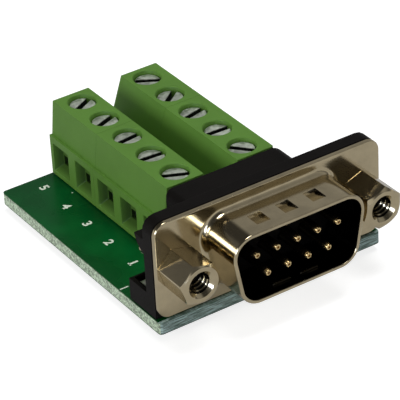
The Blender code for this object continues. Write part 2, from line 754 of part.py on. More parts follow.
def terminal_housing(name, side, poles, stand, look):
    """A green block of some poles: sloped faces, a ledge, wells, shafts and wire entries."""
    sign = SIDES[side]
    outline = [(sign * out, z) for out, z in row_section()]
    joint = SEAT_GAP / 2
    start = pole_y(poles[0]) - TERMINAL_PITCH / 2 + joint
    end = pole_y(poles[-1]) + TERMINAL_PITCH / 2 - joint
    block = sub_part(name, make(add_prism, outline, "Y", start, end), look, stand)
    for cut_name, cut in (
        ("clamp_shafts", add_clamp_cavities),
        ("screw_wells", add_wells),
        ("shank_holes", add_shank_holes),
        ("leg_slots", add_leg_slots),
        ("wire_entries", add_wire_entries),
    ):
        shape_with(block, "DIFFERENCE", cut_name, make(cut, sign, poles))


def terminal_screw(name, place, turn, stand, look):
    """A slotted screw, with its origin on its axis at the top of the head."""
    head = HEAD_BASE - HEAD_TOP
    tip = TONGUE_TOP + RUN_GAP - HEAD_TOP
    bm = make(add_prism, circle(SCREW_HEAD_RADIUS, 20), "Z", head, 0)
    screw = sub_part(name, bm, look, stand, (*place, HEAD_TOP), turn)
    shank = make(add_prism, circle(SCREW_RADIUS, 12), "Z", tip, head / 2 - SLOT_DEPTH / 2)
    shape_with(screw, "UNION", "shank", shank)
    reach = SCREW_HEAD_RADIUS + OVERCUT
    slot = SLOT_WIDTH / 2
    cut = make(add_box, (-reach, reach), (-slot, slot), (-SLOT_DEPTH, OVERCUT))
    shape_with(screw, "DIFFERENCE", "slot", cut)


def clamp_cage(name, place, stand, look):
    """A square ring that the screw lifts: nut plate above, jaw below, open to the wire."""
    half_x, half_y = CAGE_SIZE / 2, CAGE_LENGTH / 2
    section = rectangle(-half_y, half_y, 0, CAGE_TOP - CAGE_BASE)
    bm = make(add_prism, section, "X", -half_x, half_x)
    cage = sub_part(name, bm, look, stand, (*place, CAGE_BASE))
    window = rectangle(CAGE_WALL - half_y, half_y - CAGE_WALL, CAGE_FLOOR, CAGE_NUT_BASE - CAGE_BASE)
    cut = make(add_prism, window, "X", -half_x - OVERCUT, half_x + OVERCUT)
    shape_with(cage, "DIFFERENCE", "window", cut)
    hole = circle(SCREW_RADIUS + THREAD_GAP, 12)
    low, high = CAGE_NUT_BASE - CAGE_BASE - OVERCUT, CAGE_TOP - CAGE_BASE + OVERCUT
    shape_with(cage, "DIFFERENCE", "thread", make(add_prism, hole, "Z", low, high))


def terminal_contact(name, sign, y, stand, look):
    """A bent strip: the tongue that the wire is pressed against, and its solder leg."""
    corners = [
        (sign * LEG_INNER, TAIL_END),
        (sign * LEG_OUTER, TAIL_END),
        (sign * LEG_OUTER, TONGUE_BOTTOM),
        (sign * (SCREW_OFFSET + CAGE_SIZE / 2), TONGUE_BOTTOM),
        (sign * (SCREW_OFFSET + CAGE_SIZE / 2), TONGUE_TOP),
        (sign * LEG_INNER, TONGUE_TOP),
    ]
    strip = rounded_outline(corners, [0, 0, 0, 0, 0, TONGUE_SHEET / 2], steps=3)
    half = LEG_WIDTH / 2
    bm = make(add_prism, strip, "Y", y - half, y + half)
    contact = sub_part(name, bm, look, stand)
    half_width = TONGUE_WIDTH / 2
    inner, outer = SCREW_OFFSET - CAGE_SIZE / 2, SCREW_OFFSET + CAGE_SIZE / 2 - SEAT_GAP
    reach = (sign * inner, sign * outer), (y - half_width, y + half_width)
    tongue = make(add_box, *reach, (TONGUE_BOTTOM + TONGUE_TRIM, TONGUE_TOP - TONGUE_TRIM))
    shape_with(contact, "UNION", "tongue", tongue)


def terminal_rows(stand, looks):
    """Both rows of blocks, with the screw, cage and contact of every pole."""
    blocks = {"front": range(FRONT_POLES), "rear": range(FRONT_POLES, FRONT_POLES + REAR_POLES)}
    for side, sign in SIDES.items():
        for where, poles in blocks.items():
            terminal_housing(f"terminal_housing_{side}_{where}", side, poles, stand, looks["green"])
        for pole in range(FRONT_POLES + REAR_POLES):
            place = (sign * SCREW_OFFSET, pole_y(pole))
            label = f"{side}_{pole + 1}"
            turn = SLOT_TURNS[side][pole % len(SLOT_TURNS[side])]
            terminal_screw(f"terminal_screw_{label}", place, turn, stand, looks["zinc"])
            clamp_cage(f"clamp_cage_{label}", place, stand, looks["zinc"])
            terminal_contact(f"terminal_contact_{label}", sign, place[1], stand, looks["tin"])


def main():
    """Build the adapter, standing on its solder tails and centred over the origin."""
    clear_scene()
    looks = {
        "steel": material("nickel_plated_steel", (0.60, 0.55, 0.46), 0.28, 1.0),
        "gold": material("gold_plated_brass", (0.83, 0.62, 0.25), 0.25, 1.0),
        "zinc": material("zinc_plated_steel", (0.62, 0.64, 0.62), 0.35, 1.0),
        "tin": material("tinned_brass", (0.66, 0.64, 0.58), 0.4, 1.0),
        "black": material("black_moulding", (0.012, 0.012, 0.012), 0.5, 0.0),
        "green": material("green_moulding", (0.11, 0.25, 0.05), 0.45, 0.0),
        "board": material("green_board", (0.0, 0.12, 0.04), 0.35, 0.0),
    }
    stand = bpy.data.objects.new("stand", None)
    stand.location = (0, (D_DEPTH - BOARD_BACK) / 2, -TAIL_END)
    bpy.context.scene.collection.objects.link(stand)
    circuit_board(stand, looks["board"])
    dsub_shell(stand, looks["steel"])
    connector_housing(stand, looks["black"])
    contact_pins(stand, looks["gold"])
    for side, turn in zip(SIDES, JACK_TURNS):
        jackscrew(side, turn, stand, looks["steel"])
        clinch_nut(side, stand, looks["steel"])
        board_lock(side, stand, looks["tin"])
    terminal_rows(stand, looks)
    sharpen_edges()


main()
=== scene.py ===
"""Looks for a D-sub adapter: drawn metal, mouldings, screws, board and print over its packed frame.

The file is laid out as an add-on and run as a script. Each operator makes one piece or one group
of like pieces. Shapes are modelled about the centre of the connector's D, at the front of its
flange: X runs along the flange, Y runs back over the board and Z is up. Sizes are in metres.
"""

import math

import bmesh
import bpy
from bpy.props import FloatProperty, FloatVectorProperty, PointerProperty
from bpy.types import Operator, Panel, PropertyGroup
from mathutils import Matrix, Vector
from mathutils.geometry import normal


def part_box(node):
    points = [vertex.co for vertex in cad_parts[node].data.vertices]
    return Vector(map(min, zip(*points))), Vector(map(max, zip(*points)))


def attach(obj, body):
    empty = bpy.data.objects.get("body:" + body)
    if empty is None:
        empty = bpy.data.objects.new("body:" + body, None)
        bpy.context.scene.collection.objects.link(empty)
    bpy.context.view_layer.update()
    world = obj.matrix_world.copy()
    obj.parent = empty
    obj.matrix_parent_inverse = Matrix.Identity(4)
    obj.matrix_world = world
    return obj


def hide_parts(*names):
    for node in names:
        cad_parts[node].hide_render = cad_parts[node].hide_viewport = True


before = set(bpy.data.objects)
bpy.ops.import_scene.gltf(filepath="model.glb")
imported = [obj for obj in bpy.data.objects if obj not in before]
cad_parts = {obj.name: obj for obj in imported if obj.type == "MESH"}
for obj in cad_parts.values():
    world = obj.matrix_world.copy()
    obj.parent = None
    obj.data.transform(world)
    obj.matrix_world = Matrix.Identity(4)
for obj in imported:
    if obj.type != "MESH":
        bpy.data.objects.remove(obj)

bl_info = {
    "name": "D-sub adapter looks",
    "version": (1, 0, 0),
    "blender": (4, 5, 0),
    "location": "3D View > Sidebar > Adapter",
    "description": "Makes the fine pieces and finishes of a D-sub adapter with screw terminals",
    "category": "Object",
}

BODY = "adapter"
SIDES = {"left": -1, "right": 1}
POLES = range(1, 6)
BLOCKS = {"front": (1, 2, 3), "rear": (4, 5)}

# How far each jackscrew and each terminal screw is turned at rest, in degrees
HEX_TURNS = {"left": 48, "right": 20}
SLOT_TURNS = {"left": (-26, -4, 6, 21, 29), "right": (-50, -2, 13, 38, -31)}

# The middle of the D at the flange's front, and how far the D stands out, from the frame
SHELL_LOW, SHELL_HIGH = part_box("dsub_shell")
FLANGE_THICKNESS = 0.0005
CENTRE = Vector((0, SHELL_HIGH.y - FLANGE_THICKNESS, (SHELL_LOW.z + SHELL_HIGH.z) / 2))
D_DEPTH = CENTRE.y - SHELL_LOW.y

# The body of the connector housing behind its hood, above the board
HOUSING_HALF_WIDTH = 0.0083
HOUSING_HEIGHT = 0.01
HOUSING_HOOD_BACK = 0.0045

# A jackscrew's bore and thread, and the flange's hole behind it
BORE_DEPTH = 0.0037
THREAD_CREST_RADIUS = 0.00108
THREAD_TURNS = 4.5
FLANGE_HOLE_RADIUS = 0.0016

# A pin behind its front: the bar, its bend, and from the back of the pin's box to the tail's middle
PIN_BAR_RADIUS = 0.00034
PIN_BEND_RADIUS = 0.0009
PIN_TAIL_PLACE = 0.00035

# A row of terminals in section: distances from the middle plane, and heights above the board
ROW_TOP_INNER = 0.00236
ROW_TOP_OUTER = 0.00743
ROW_KNEE = 0.0042
ROW_LEDGE = 0.00556
ROW_LEDGE_STEP = 0.0004

# The wire entries: bottoms and tops above the board, and how far in the recess's floor lies
RECESS_HEIGHTS = (0.0008, 0.00455)
RECESS_DEPTH = 0.0012
ENTRY_HEIGHTS = (0.0014, 0.0027)
ENTRY_HALF_WIDTH = 0.0013

# A terminal screw: how high its head is, and its shank
HEAD_HEIGHT = 0.0012
SHANK_RADIUS = 0.00124

# The block round a screw: from the head's top down to the well's floor, the hole through that
# floor, and how thick the floor is above the cage's shaft
WELL_BELOW_HEAD = 0.0014
SCREW_HOLE_RADIUS = 0.00145
WELL_FLOOR_THICKNESS = 0.00075

# Under the board: the legs' distance from the middle plane, their pads, the radius of a tail or
# leg with how far the solder reaches down it, and the lanes of the five traces
LEG_PLACE = 0.00236
LEG_PAD_RADIUS = 0.00125
PIN_SOLDER = (0.00035, 0.0007)
LEG_SOLDER = (0.00066, 0.0008)
TRACE_LANES = (-0.0055, -0.0012, -0.00065, -0.0001, 0.00045)

# The print on the board's left strip
DIGIT_PLACES = ((-0.01115, 0.0122), (-0.0111, 0.0176), (-0.0110, 0.0226), (-0.0110, 0.0274), (-0.0109, 0.0327))
LINE_LOW, LINE_HIGH = (-0.01527, 0.00842), (-0.01415, 0.00858)
DOT_PLACE, DOT_RADIUS = (-0.00874, 0.0296), 0.0001

# How far a cutter runs past what it cuts
OVERCUT = 0.001


def span(node):
    """The two corners of a frame node's box, about the centre of the D."""
    return [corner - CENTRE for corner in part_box(node)]


BOARD_LOW, BOARD_HIGH = span("circuit_board")


def length(name, about, value):
    """A length that a user may change."""
    return FloatProperty(name=name, description=about, default=value, min=0, precision=5, unit="LENGTH")


def colour(name, about, value):
    """A colour that a user may change, as linear values."""
    return FloatVectorProperty(name=name, description=about, default=value, min=0, max=1, subtype="COLOR")


class ConnectorSizes(PropertyGroup):
    """Sizes of the drawn shell, the jackscrews and the pins."""

    d_width: length("D width", "Inside width of the D at its widest", 0.01692)
    d_height: length("D height", "Inside height of the D", 0.00836)
    d_corner: length("D corner", "Inside corner radius of the D", 0.0022)
    shell_wall: length("Shell wall", "Sheet thickness of the drawn D", 0.00045)
    shell_root: length("Root radius", "Bend between the flange and the D", 0.0008)
    rim_round: length("Rim radius", "Rounding of the D's outer front edge", 0.0002)
    flange_corner: length("Flange corner", "Corner radius of the flange", 0.0016)
    flange_roll: length("Flange edge", "Rounding that the punch leaves on the flange's front edge", 0.00014)
    dimple_width: length("Dimple width", "Width of a pressed dimple", 0.0018)
    dimple_length: length("Dimple length", "Length of a pressed dimple", 0.0022)
    dimple_depth: length("Dimple depth", "Depth of a dimple at its back", 0.00042)
    dimple_start: length("Dimple place", "How far ahead of the flange the dimples begin", 0.0022)
    dimple_pitch: length("Dimple pitch", "Distance from one dimple to the next", 0.0038)
    hex_flats: length("Hexagon", "Width of a jackscrew across its flats", 0.00475)
    hex_face: length("Jackscrew face", "Radius of the round face that the chamfer leaves", 0.0022)
    hex_chamfer: length("Jackscrew chamfer", "How far back the chamfer reaches at a corner", 0.00035)
    bore_radius: length("Bore radius", "Radius of the thread's grooves in a jackscrew", 0.0013)
    stud_radius: length("Stud radius", "Radius of the stud behind a jackscrew", 0.0014)
    thread_pitch: length("Thread pitch", "Pitch of the thread inside a jackscrew", 0.000635)
    shoulder: length("Shoulder", "Radius of the top corners of the housing's body", 0.0013)
    pin_radius: length("Pin radius", "Radius of a contact pin", 0.0005)
    pin_reach: length("Pin reach", "How far the pins stand out from the flange", 0.0055)


class TerminalSizes(PropertyGroup):
    """Sizes of the terminal blocks and their screws."""

    edge: length("Moulded edge", "Rounding of the moulding's outer edges", 0.00012)
    well_radius: length("Well radius", "Radius of the well above a screw", 0.00175)
    well_chamfer: length("Well chamfer", "Bevel round the top of a well", 0.00016)
    mouth_width: length("Mouth width", "Width of a wire entry", 0.0034)
    mouth_round: length("Mouth edge", "Rounding of the edge round a wire entry", 0.00014)
    slot_width: length("Slot width", "Width of a screw's slot", 0.00072)
    slot_depth: length("Slot depth", "Depth of a screw's slot", 0.0009)
    head_radius: length("Head radius", "Radius of a screw's head", 0.0016)
    head_round: length("Head edge", "Rounding of the edge of a screw's head", 0.00014)


class BoardSizes(PropertyGroup):
    """Sizes of what lies on the board."""

    digit_height: length("Digit height", "Height of a printed digit", 0.00115)
    ink: length("Ink", "Thickness of the printed ink", 0.00002)
    copper: length("Copper", "Thickness of the copper under the mask", 0.000035)
    trace_width: length("Trace width", "Width of a copper trace", 0.00032)
    pad_radius: length("Pad radius", "Radius of a connector pin's pad", 0.0008)


class FinishColours(PropertyGroup):
    """Main colours of the finishes."""

    # Nickel's own colour, with a warm tint added as a painted reflection of brown surroundings
    nickel: colour("Nickel", "Bright plating of the shell and jackscrews", (0.53, 0.45, 0.295))
    gold: colour("Gold", "Plating of the contact pins", (0.74, 0.56, 0.28))
    zinc: colour("Zinc", "Plating of the terminal screws", (0.60, 0.65, 0.56))
    tin: colour("Tin", "Tinned strips and solder", (0.62, 0.61, 0.57))
    black: colour("Black moulding", "Connector housing", (0.006, 0.005, 0.0045))
    green: colour("Green moulding", "Terminal blocks", (0.110, 0.250, 0.038))
    mask: colour("Solder mask", "Coating of the board", (0.0003, 0.085, 0.016))
    fibre: colour("Cut glass fibre", "Side edges of the board", (0.54, 0.66, 0.50))
    core: colour("Cut core", "Front and back edges of the board", (0.5, 0.75, 0.66))
    print: colour("Print", "Ink on the board", (0.8, 0.88, 0.74))


class StageSettings(PropertyGroup):
    """Camera and light."""

    azimuth: FloatProperty(name="Azimuth", description="Camera's angle round the part", default=-32.16)
    elevation: FloatProperty(name="Elevation", description="Camera's angle above the board", default=32.41)
    roll: FloatProperty(name="Roll", description="Camera's turn about its own line of sight", default=-3.21)
    distance: length("Distance", "From the D's middle to the camera", 0.2887)
    lens: FloatProperty(name="Lens", description="Focal length in millimetres", default=230.06, min=1)
    shift_x: FloatProperty(name="Sideways", description="Camera's sideways shift in metres", default=-0.00797)
    shift_z: FloatProperty(name="Upwards", description="Camera's upward shift in metres", default=0.00318)


# Shapes


def rounded(corners, radii, segments):
    """A polygon's outline with its corners rounded, as 2D points in order."""
    bm = bmesh.new()
    verts = [bm.verts.new((*corner, 0)) for corner in corners]
    bm.faces.new(verts)
    for index, (vert, radius) in enumerate(zip(verts, radii)):
        here, before = Vector(corners[index]), Vector(corners[index - 1])
        after = Vector(corners[(index + 1) % len(corners)])
        half = (before - here).angle(after - here) / 2
        if radius:
            bmesh.ops.bevel(
                bm, geom=[vert], offset=radius / math.tan(half), segments=segments,
                profile=0.5, affect="VERTICES", material=-1,
            )
    bm.faces.ensure_lookup_table()
    points = [vert.co.xy for vert in bm.faces[0].verts]
    bm.free()
    return points


def rectangle(x_low, x_high, y_low, y_high):
    """The corners of a rectangle, counter-clockwise."""
    return [(x_low, y_low), (x_high, y_low), (x_high, y_high), (x_low, y_high)]


def loft(rings, closed=False):
    """A body through rings of 3D points: flat at both ends, or closed into a loop.

    The rings are bridged while they stand far apart, because bridging crosses rings that lie in
    one plane, and are then put in their places.
    """
    bm = bmesh.new()
    apart = normal([Vector(point) for point in rings[0]]) * 0.05
    loops = []
    for index, ring in enumerate(rings):
        verts = [bm.verts.new(Vector(point) + apart * index) for point in ring]
        pairs = zip(verts, verts[1:] + verts[:1])
        loops.append((verts, [bm.edges.new(pair) for pair in pairs]))
    for (_, near), (_, far) in zip(loops, loops[1:]):
        bmesh.ops.bridge_loops(bm, edges=near + far)
    if closed:
        bmesh.ops.bridge_loops(bm, edges=loops[-1][1] + loops[0][1])
    else:
        bm.faces.new(loops[0][0])
        bm.faces.new(loops[-1][0])
    for ring, (verts, _) in zip(rings, loops):
        for point, vert in zip(ring, verts):
            vert.co = point
    bmesh.ops.recalc_face_normals(bm, faces=bm.faces)
    if bm.calc_volume(signed=True) < 0:
        bmesh.ops.reverse_faces(bm, faces=bm.faces)
    return bm


def prism(points, low, high, place):
    """A flat outline extruded between two distances; place turns (a, b, distance) into a point."""
    bm = bmesh.new()
    face = bm.faces.new([bm.verts.new(place(*point, low)) for point in points])
    made = bmesh.ops.extrude_face_region(bm, geom=[face])["geom"]
    moved = [item for item in made if isinstance(item, bmesh.types.BMVert)]
    travel = Vector(place(0, 0, high)) - Vector(place(0, 0, low))
    bmesh.ops.translate(bm, vec=travel, verts=moved)
    bmesh.ops.recalc_face_normals(bm, faces=bm.faces)
    return bm


def along_x(y, z, distance):
    """A point of an outline that is extruded along X."""
    return (distance, y, z)


def along_y(x, z, distance):
    """A point of an outline that is extruded along Y."""
    return (x, distance, z)


def turned(profile, axis, centre, segments=48):
    """A body spun from (radius, distance along the axis) pairs that start and end on the axis."""
    bm = bmesh.new()
    centre, axis = Vector(centre), Vector(axis)
    verts = [bm.verts.new(centre + axis * along + out_from(axis) * radius) for radius, along in profile]
    edges = [bm.edges.new(pair) for pair in zip(verts, verts[1:])]
    bmesh.ops.spin(
        bm, geom=verts + edges, cent=centre, axis=axis, angle=2 * math.pi,
        steps=segments, use_merge=True,
    )
    bmesh.ops.remove_doubles(bm, verts=bm.verts, dist=1e-7)
    bmesh.ops.recalc_face_normals(bm, faces=bm.faces)
    return bm


def out_from(axis):
    """A direction square to an axis."""
    return Vector((1, 0, 0)) if abs(axis[0]) < 0.5 else Vector((0, 1, 0))


def box(low, high, edge=0.0):
    """A block between two corners, with rounded edges if they have a radius."""
    bm = bmesh.new()
    size = Vector(high) - Vector(low)
    middle = (Vector(high) + Vector(low)) / 2
    bmesh.ops.create_cube(bm, size=1, matrix=Matrix.Translation(middle) @ Matrix.Diagonal((*size, 1)))
    if edge:
        round_edges(bm, bm.edges[:], edge)
    return bm


def round_edges(bm, edges, radius, segments=2):
    """Round these edges of a shape."""
    bmesh.ops.bevel(
        bm, geom=edges, offset=radius, segments=segments, profile=0.5,
        affect="EDGES", material=-1, clamp_overlap=True,
    )


def gather(shapes):
    """Several shapes in one."""
    whole = bmesh.new()
    for shape in shapes:
        mesh = bpy.data.meshes.new("part_of_shape")
        shape.to_mesh(mesh)
        shape.free()
        whole.from_mesh(mesh)
        bpy.data.meshes.remove(mesh)
    return whole


def combine(shape, operation, tool):
    """One shape joined with another, cut by it or kept inside it."""
    objects = []
    for bm in (shape, tool):
        mesh = bpy.data.meshes.new("working_shape")
        bm.to_mesh(mesh)
        bm.free()
        objects.append(bpy.data.objects.new("working_shape", mesh))
        bpy.context.scene.collection.objects.link(objects[-1])
    modifier = objects[0].modifiers.new("combine", "BOOLEAN")
    modifier.operation = operation
    modifier.solver = "EXACT"
    modifier.object = objects[1]
    result = bmesh.new()
    graph = bpy.context.evaluated_depsgraph_get()
    result.from_mesh(objects[0].evaluated_get(graph).data)
    for obj in objects:
        mesh = obj.data
        bpy.data.objects.remove(obj)
        bpy.data.meshes.remove(mesh)
    if not result.faces:
        raise RuntimeError("a Boolean left nothing of a shape")
    return result


def piece(name, bm, look, body=BODY, replaced=(), crisp=30, moved=True):
    """A finished piece: shaded, put in its place in the frame and riding on its body."""
    if moved:
        bmesh.ops.translate(bm, vec=CENTRE, verts=bm.verts)
    mesh = bpy.data.meshes.new(name)
    bm.to_mesh(mesh)
    bm.free()
    mesh.shade_smooth()
    mesh.set_sharp_from_angle(angle=math.radians(crisp))
    mesh.materials.clear()
    mesh.materials.append(look)
    obj = bpy.data.objects.new(name, mesh)
    bpy.context.scene.collection.objects.link(obj)
    even = obj.modifiers.new("even_shading", "WEIGHTED_NORMAL")
    even.keep_sharp = True
    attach(obj, body)
    if replaced:
        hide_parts(*replaced)
    return obj


def softened(node, edge, cutters):
    """A copy of a frame node's shape, cut and then with its sharp outer edges rounded."""
    bm = bmesh.new()
    bm.from_mesh(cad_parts[node].data)
    bmesh.ops.remove_doubles(bm, verts=bm.verts, dist=1e-6)
    bmesh.ops.dissolve_limit(bm, angle_limit=math.radians(1), verts=bm.verts, edges=bm.edges)
    bmesh.ops.translate(cutters, vec=CENTRE, verts=cutters.verts)
    bm = combine(bm, "DIFFERENCE", cutters)
    least = math.radians(30)
    sharp = [e for e in bm.edges if e.is_manifold and e.is_convex and e.calc_face_angle() > least]
    bmesh.ops.bevel(
        bm, geom=sharp, offset=edge, segments=2, profile=0.5, affect="EDGES",
        material=-1, clamp_overlap=False,
    )
    return bm


def dress(node, look):
    """Give a carried-over frame node its finish."""
    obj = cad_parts[node]
    obj.data.materials.clear()
    obj.data.materials.append(look)


# Finishes


class Wire:
    """A value in a tree of nodes. Sums with it add Math nodes."""

    def __init__(self, nodes, socket):
        self.nodes = nodes
        self.socket = socket

    def math(self, operation, *values):
        """A Math node's result from these values alone."""
        return self.nodes.add("ShaderNodeMath", {"operation": operation}, dict(enumerate(values)))

    def __add__(self, other):
        return self.math("ADD", self, other)

    __radd__ = __add__

    def __sub__(self, other):
        return self.math("SUBTRACT", self, other)

    def __rsub__(self, other):
        return self.math("SUBTRACT", other, self)

    def __mul__(self, other):
        return self.math("MULTIPLY", self, other)

    __rmul__ = __mul__

    def __gt__(self, other):
        return self.math("GREATER_THAN", self, other)

    def __lt__(self, other):
        return self.math("LESS_THAN", self, other)

    def __abs__(self):
        return self.math("ABSOLUTE", self)

    def over(self, low, high):
        """Runs from 0 to 1 as this value goes from low to high."""
        return self.nodes.add(
            "ShaderNodeMapRange", {"clamp": True, "interpolation_type": "SMOOTHSTEP"},
            {"Value": self, "From Min": low, "From Max": high},
        )


class Nodes:
    """The nodes of a material or a world, and the shader that they feed."""

    def __init__(self, tree, shader):
        self.tree = tree
        self.shader = tree.nodes[shader]

    def add(self, kind, settings, values, output=0):
        """Any node: its settings first, then the values or links of its sockets."""
        node = self.tree.nodes.new(kind)
        for name, value in settings.items():
            setattr(node, name, value)
        for name, value in values.items():
            self.fill(node.inputs[name], value)
        return Wire(self, node.outputs[output])

    def set(self, socket, value):
        """Give the shader a value or a link."""
        self.fill(self.shader.inputs[socket], value)

    def fill(self, socket, value):
        """Give a socket a value or a link."""
        if isinstance(value, Wire):
            self.tree.links.new(value.socket, socket)
        else:
            socket.default_value = value


class Finish(Nodes):
    """A material that is being built, in millimetres about the centre of the D."""

    def __init__(self, name, roughness, metallic=0.0, settings=None):
        self.material = bpy.data.materials.new(name)
        self.material.use_nodes = True
        super().__init__(self.material.node_tree, "Principled BSDF")
        for socket, value in {"Roughness": roughness, "Metallic": metallic, **(settings or {})}.items():
            self.set(socket, value)
        place = self.add("ShaderNodeTexCoord", {}, {}, "Object")
        offset = [-1000 * value for value in CENTRE]
        self.place = self.add(
            "ShaderNodeMapping", {}, {"Vector": place, "Scale": (1000, 1000, 1000), "Location": offset}
        )

    def axes(self):
        """The three coordinates, in millimetres."""
        names = ("X", "Y", "Z")
        return [self.add("ShaderNodeSeparateXYZ", {}, {"Vector": self.place}, name) for name in names]

    def facing(self, axis):
        """How squarely the surface faces along an axis, from -1 to 1."""
        out = self.add("ShaderNodeTexCoord", {}, {}, "Normal")
        return self.add("ShaderNodeSeparateXYZ", {}, {"Vector": out}, axis)

    def stretched(self, scale):
        """The place with each axis scaled."""
        return self.add("ShaderNodeMapping", {}, {"Vector": self.place, "Scale": scale})

    def noise(self, scale, detail=3.0, rough=0.5, place=None):
        """Noise with this many cells to a millimetre."""
        values = {"Vector": place or self.place, "Scale": scale, "Detail": detail, "Roughness": rough}
        return self.add("ShaderNodeTexNoise", {}, values)

    def blend(self, amount, first, second):
        """One colour mixed into another."""
        values = {0: amount, 6: wide(first), 7: wide(second)}
        return self.add("ShaderNodeMix", {"data_type": "RGBA"}, values, 2)

    def bump(self, height, strength, distance=0.00002):
        """A surface relief from a height value."""
        values = {"Strength": strength, "Distance": distance, "Height": height}
        self.set("Normal", self.add("ShaderNodeBump", {}, values))


def wide(value):
    """A colour with its fourth value, or a link as it is."""
    return value if isinstance(value, Wire) else (*value, 1)


def shade(value, factor):
    """A colour made lighter or darker."""
    return tuple(min(1, part * factor) for part in value)


def plated(name, base, roughness, stain, grain, bump, painted_shade=None, matt=0):
    """Plated metal: stains, fine draw lines and an uneven polish.

    It is darkened with painted shade where a mask says, and matt in patches.
    """
    finish = Finish(name, roughness, 1.0)
    clouds = finish.noise(0.35, 4, 0.6)
    lines = finish.noise(9, 3, 0.6, finish.stretched((1, 0.12, 1)))
    specks = finish.noise(14, 2, 0.5)
    tone = finish.blend(clouds.over(0.35, 0.75) * stain, base, shade(base, 0.62))
    tone = finish.blend(specks.over(0.62, 0.75) * 0.15, tone, shade(base, 0.5))
    # Painted shade: the base colour is darkened where the mask says
    if painted_shade:
        mask, depth = painted_shade(finish)
        tone = finish.blend(mask, tone, shade(base, depth))
    finish.set("Base Color", tone)
    if matt:
        finish.set("Metallic", 1 - finish.noise(2.2, 4, 0.7).over(0.35, 0.65) * matt)
    finish.set("Roughness", roughness + (clouds - 0.5) * 0.06 + (lines - 0.5) * grain)
    finish.bump(lines * 0.3 + specks * 0.12 + clouds * 2, bump, 0.00001)
    return finish.material


def inside_the_d(finish):
    """The shell's inner faces and the bumps inside the D, darkened almost to black as painted shade."""
    x, y, z = finish.axes()
    inward = (finish.facing("X") * x + finish.facing("Z") * z * 2) < -0.3
    half_height = 500 * bpy.context.scene.adapter_connector.d_height
    shaded_middle = (abs(z) < half_height - 0.06) * (abs(x) < 6.5)
    inner = inward.math("MAXIMUM", inward, shaded_middle)
    return inner * (y < -0.05) * (y > 0.3 - 1000 * D_DEPTH), 0.03


def behind_the_tip(finish):
    """A pin's body behind its tip, darkened as painted shade for the dark inside of the shell."""
    tip = -1000 * bpy.context.scene.adapter_connector.pin_reach
    return finish.axes()[1].over(tip + 0.55, tip + 0.9), 0.22


def between_threads(finish):
    """The grooves of the thread in a jackscrew's bore, and its far end, darkened as painted shade."""
    x, y, z = finish.axes()
    out = abs(x) - 1000 * jack_middle("right")[0]
    distance = x.math("SQRT", out * out + z * z)
    bore = 1000 * bpy.context.scene.adapter_connector.bore_radius
    front = 1000 * span("jackscrew_right")[0].y
    return (distance > bore - 0.13) * (distance < bore + 0.06) * (y > front + 0.45) * (y < front + 4.2), 0.05


def below_the_head(finish):
    """The walls and floor of a screw's slot, under the top of its head, darkened as painted shade."""
    top, z = 1000 * span("terminal_screw_left_1")[1].z, finish.axes()[2]
    return (z < top - 0.1) * (z > top - 1.0), 0.03


def in_the_recesses(finish):
    """The walls of the wire entries and the shafts behind them, darkened more the deeper they lie, as painted shade.
    """
    x, y, z = finish.axes()
    low, _ = span("terminal_housing_left_front")
    _, high = span("terminal_housing_left_rear")
    depth = -1000 * low.x - abs(x)
    above = z - 1000 * BOARD_HIGH.z
    within = (abs(x) > 3) * (y > 1000 * low.y + 0.1) * (y < 1000 * high.y - 0.1)
    within = within * (above > 0.5) * (above < 4.8)
    return within * (depth.over(0.05, 0.9) * 0.5 + (depth > 1.25) * 0.35), 0.1


def moulded(name, base, roughness, spread, gloss=0.5, shaded=None):
    """Moulded plastic: a fine spark-eroded grain, soft flow marks, slightly dusty spots, and painted shade where a
    mask says.
    """
    finish = Finish(name, roughness, 0.0, {"Specular IOR Level": gloss})
    flow = finish.noise(0.22, 3, 0.5)
    grain = finish.noise(11, 3, 0.65)
    dust = finish.noise(3.2, 5, 0.7)
    tone = finish.blend(flow.over(0.3, 0.7), shade(base, 1 - spread), shade(base, 1 + spread))
    tone = finish.blend(dust.over(0.62, 0.8) * 0.12, tone, shade(base, 1.8))
    # Painted shade: the base colour is darkened where the mask says
    if shaded:
        mask, depth = shaded(finish)
        tone = finish.blend(mask, tone, shade(base, depth))
    finish.set("Base Color", tone)
    finish.set("Roughness", roughness + (grain - 0.5) * 0.2 + (dust - 0.5) * 0.15)
    finish.bump(grain + flow * 0.5, 0.35, 0.00002)
    return finish.material


def coated_board(colours):
    """Glass-fibre board: glossy mask over a faint weave, and raw cut edges in layers."""
    finish = Finish("coated_board", 0.3, 0.0, {"Specular IOR Level": 0.2})
    _, y, z = finish.axes()
    up, side = abs(finish.facing("Z")), abs(finish.facing("X"))
    cut = up < 0.5
    tone = finish.noise(0.12, 3, 0.55)
    mask = finish.blend(tone.over(0.35, 0.7), shade(colours.mask, 0.75), shade(colours.mask, 1.2))
    middle = (BOARD_LOW.z + BOARD_HIGH.z) * 500
    half = (BOARD_HIGH.z - BOARD_LOW.z) * 500
    layers = finish.noise(2.4, 4, 0.7, finish.stretched((0.18, 0.18, 3.2)))
    specks = finish.noise(3.4, 5, 0.75)
    cream = finish.blend(specks.over(0.36, 0.62), shade(colours.fibre, 0.42), shade(colours.fibre, 1.35))
    teal = finish.blend(layers.over(0.42, 0.6), shade(colours.core, 0.4), shade(colours.core, 1.5))
    raw = finish.blend(side > 0.5, teal, cream)
    edge = abs(z - middle).over(half - 0.16, half - 0.05)
    raw = finish.blend(edge * 0.8, raw, shade(colours.mask, 0.8))
    front = BOARD_LOW.y * 1000
    broken = (specks * 0.3 + (y - front)) < 0.55
    mask = finish.blend(broken * (up > 0.5) * (z > middle), mask, teal)
    finish.set("Base Color", finish.blend(cut, mask, raw))
    finish.set("Roughness", 0.28 + cut * 0.5 + (tone - 0.5) * 0.1)
    cloth = {"Vector": finish.place, "Scale": 0.62, "Distortion": 0.6}
    weave, weft = (finish.add("ShaderNodeTexWave", {"bands_direction": way}, cloth) for way in "XY")
    finish.bump((weave + weft) * 0.12 * (1 - cut) + specks * cut * 2, 0.4, 0.00002)
    return finish.material


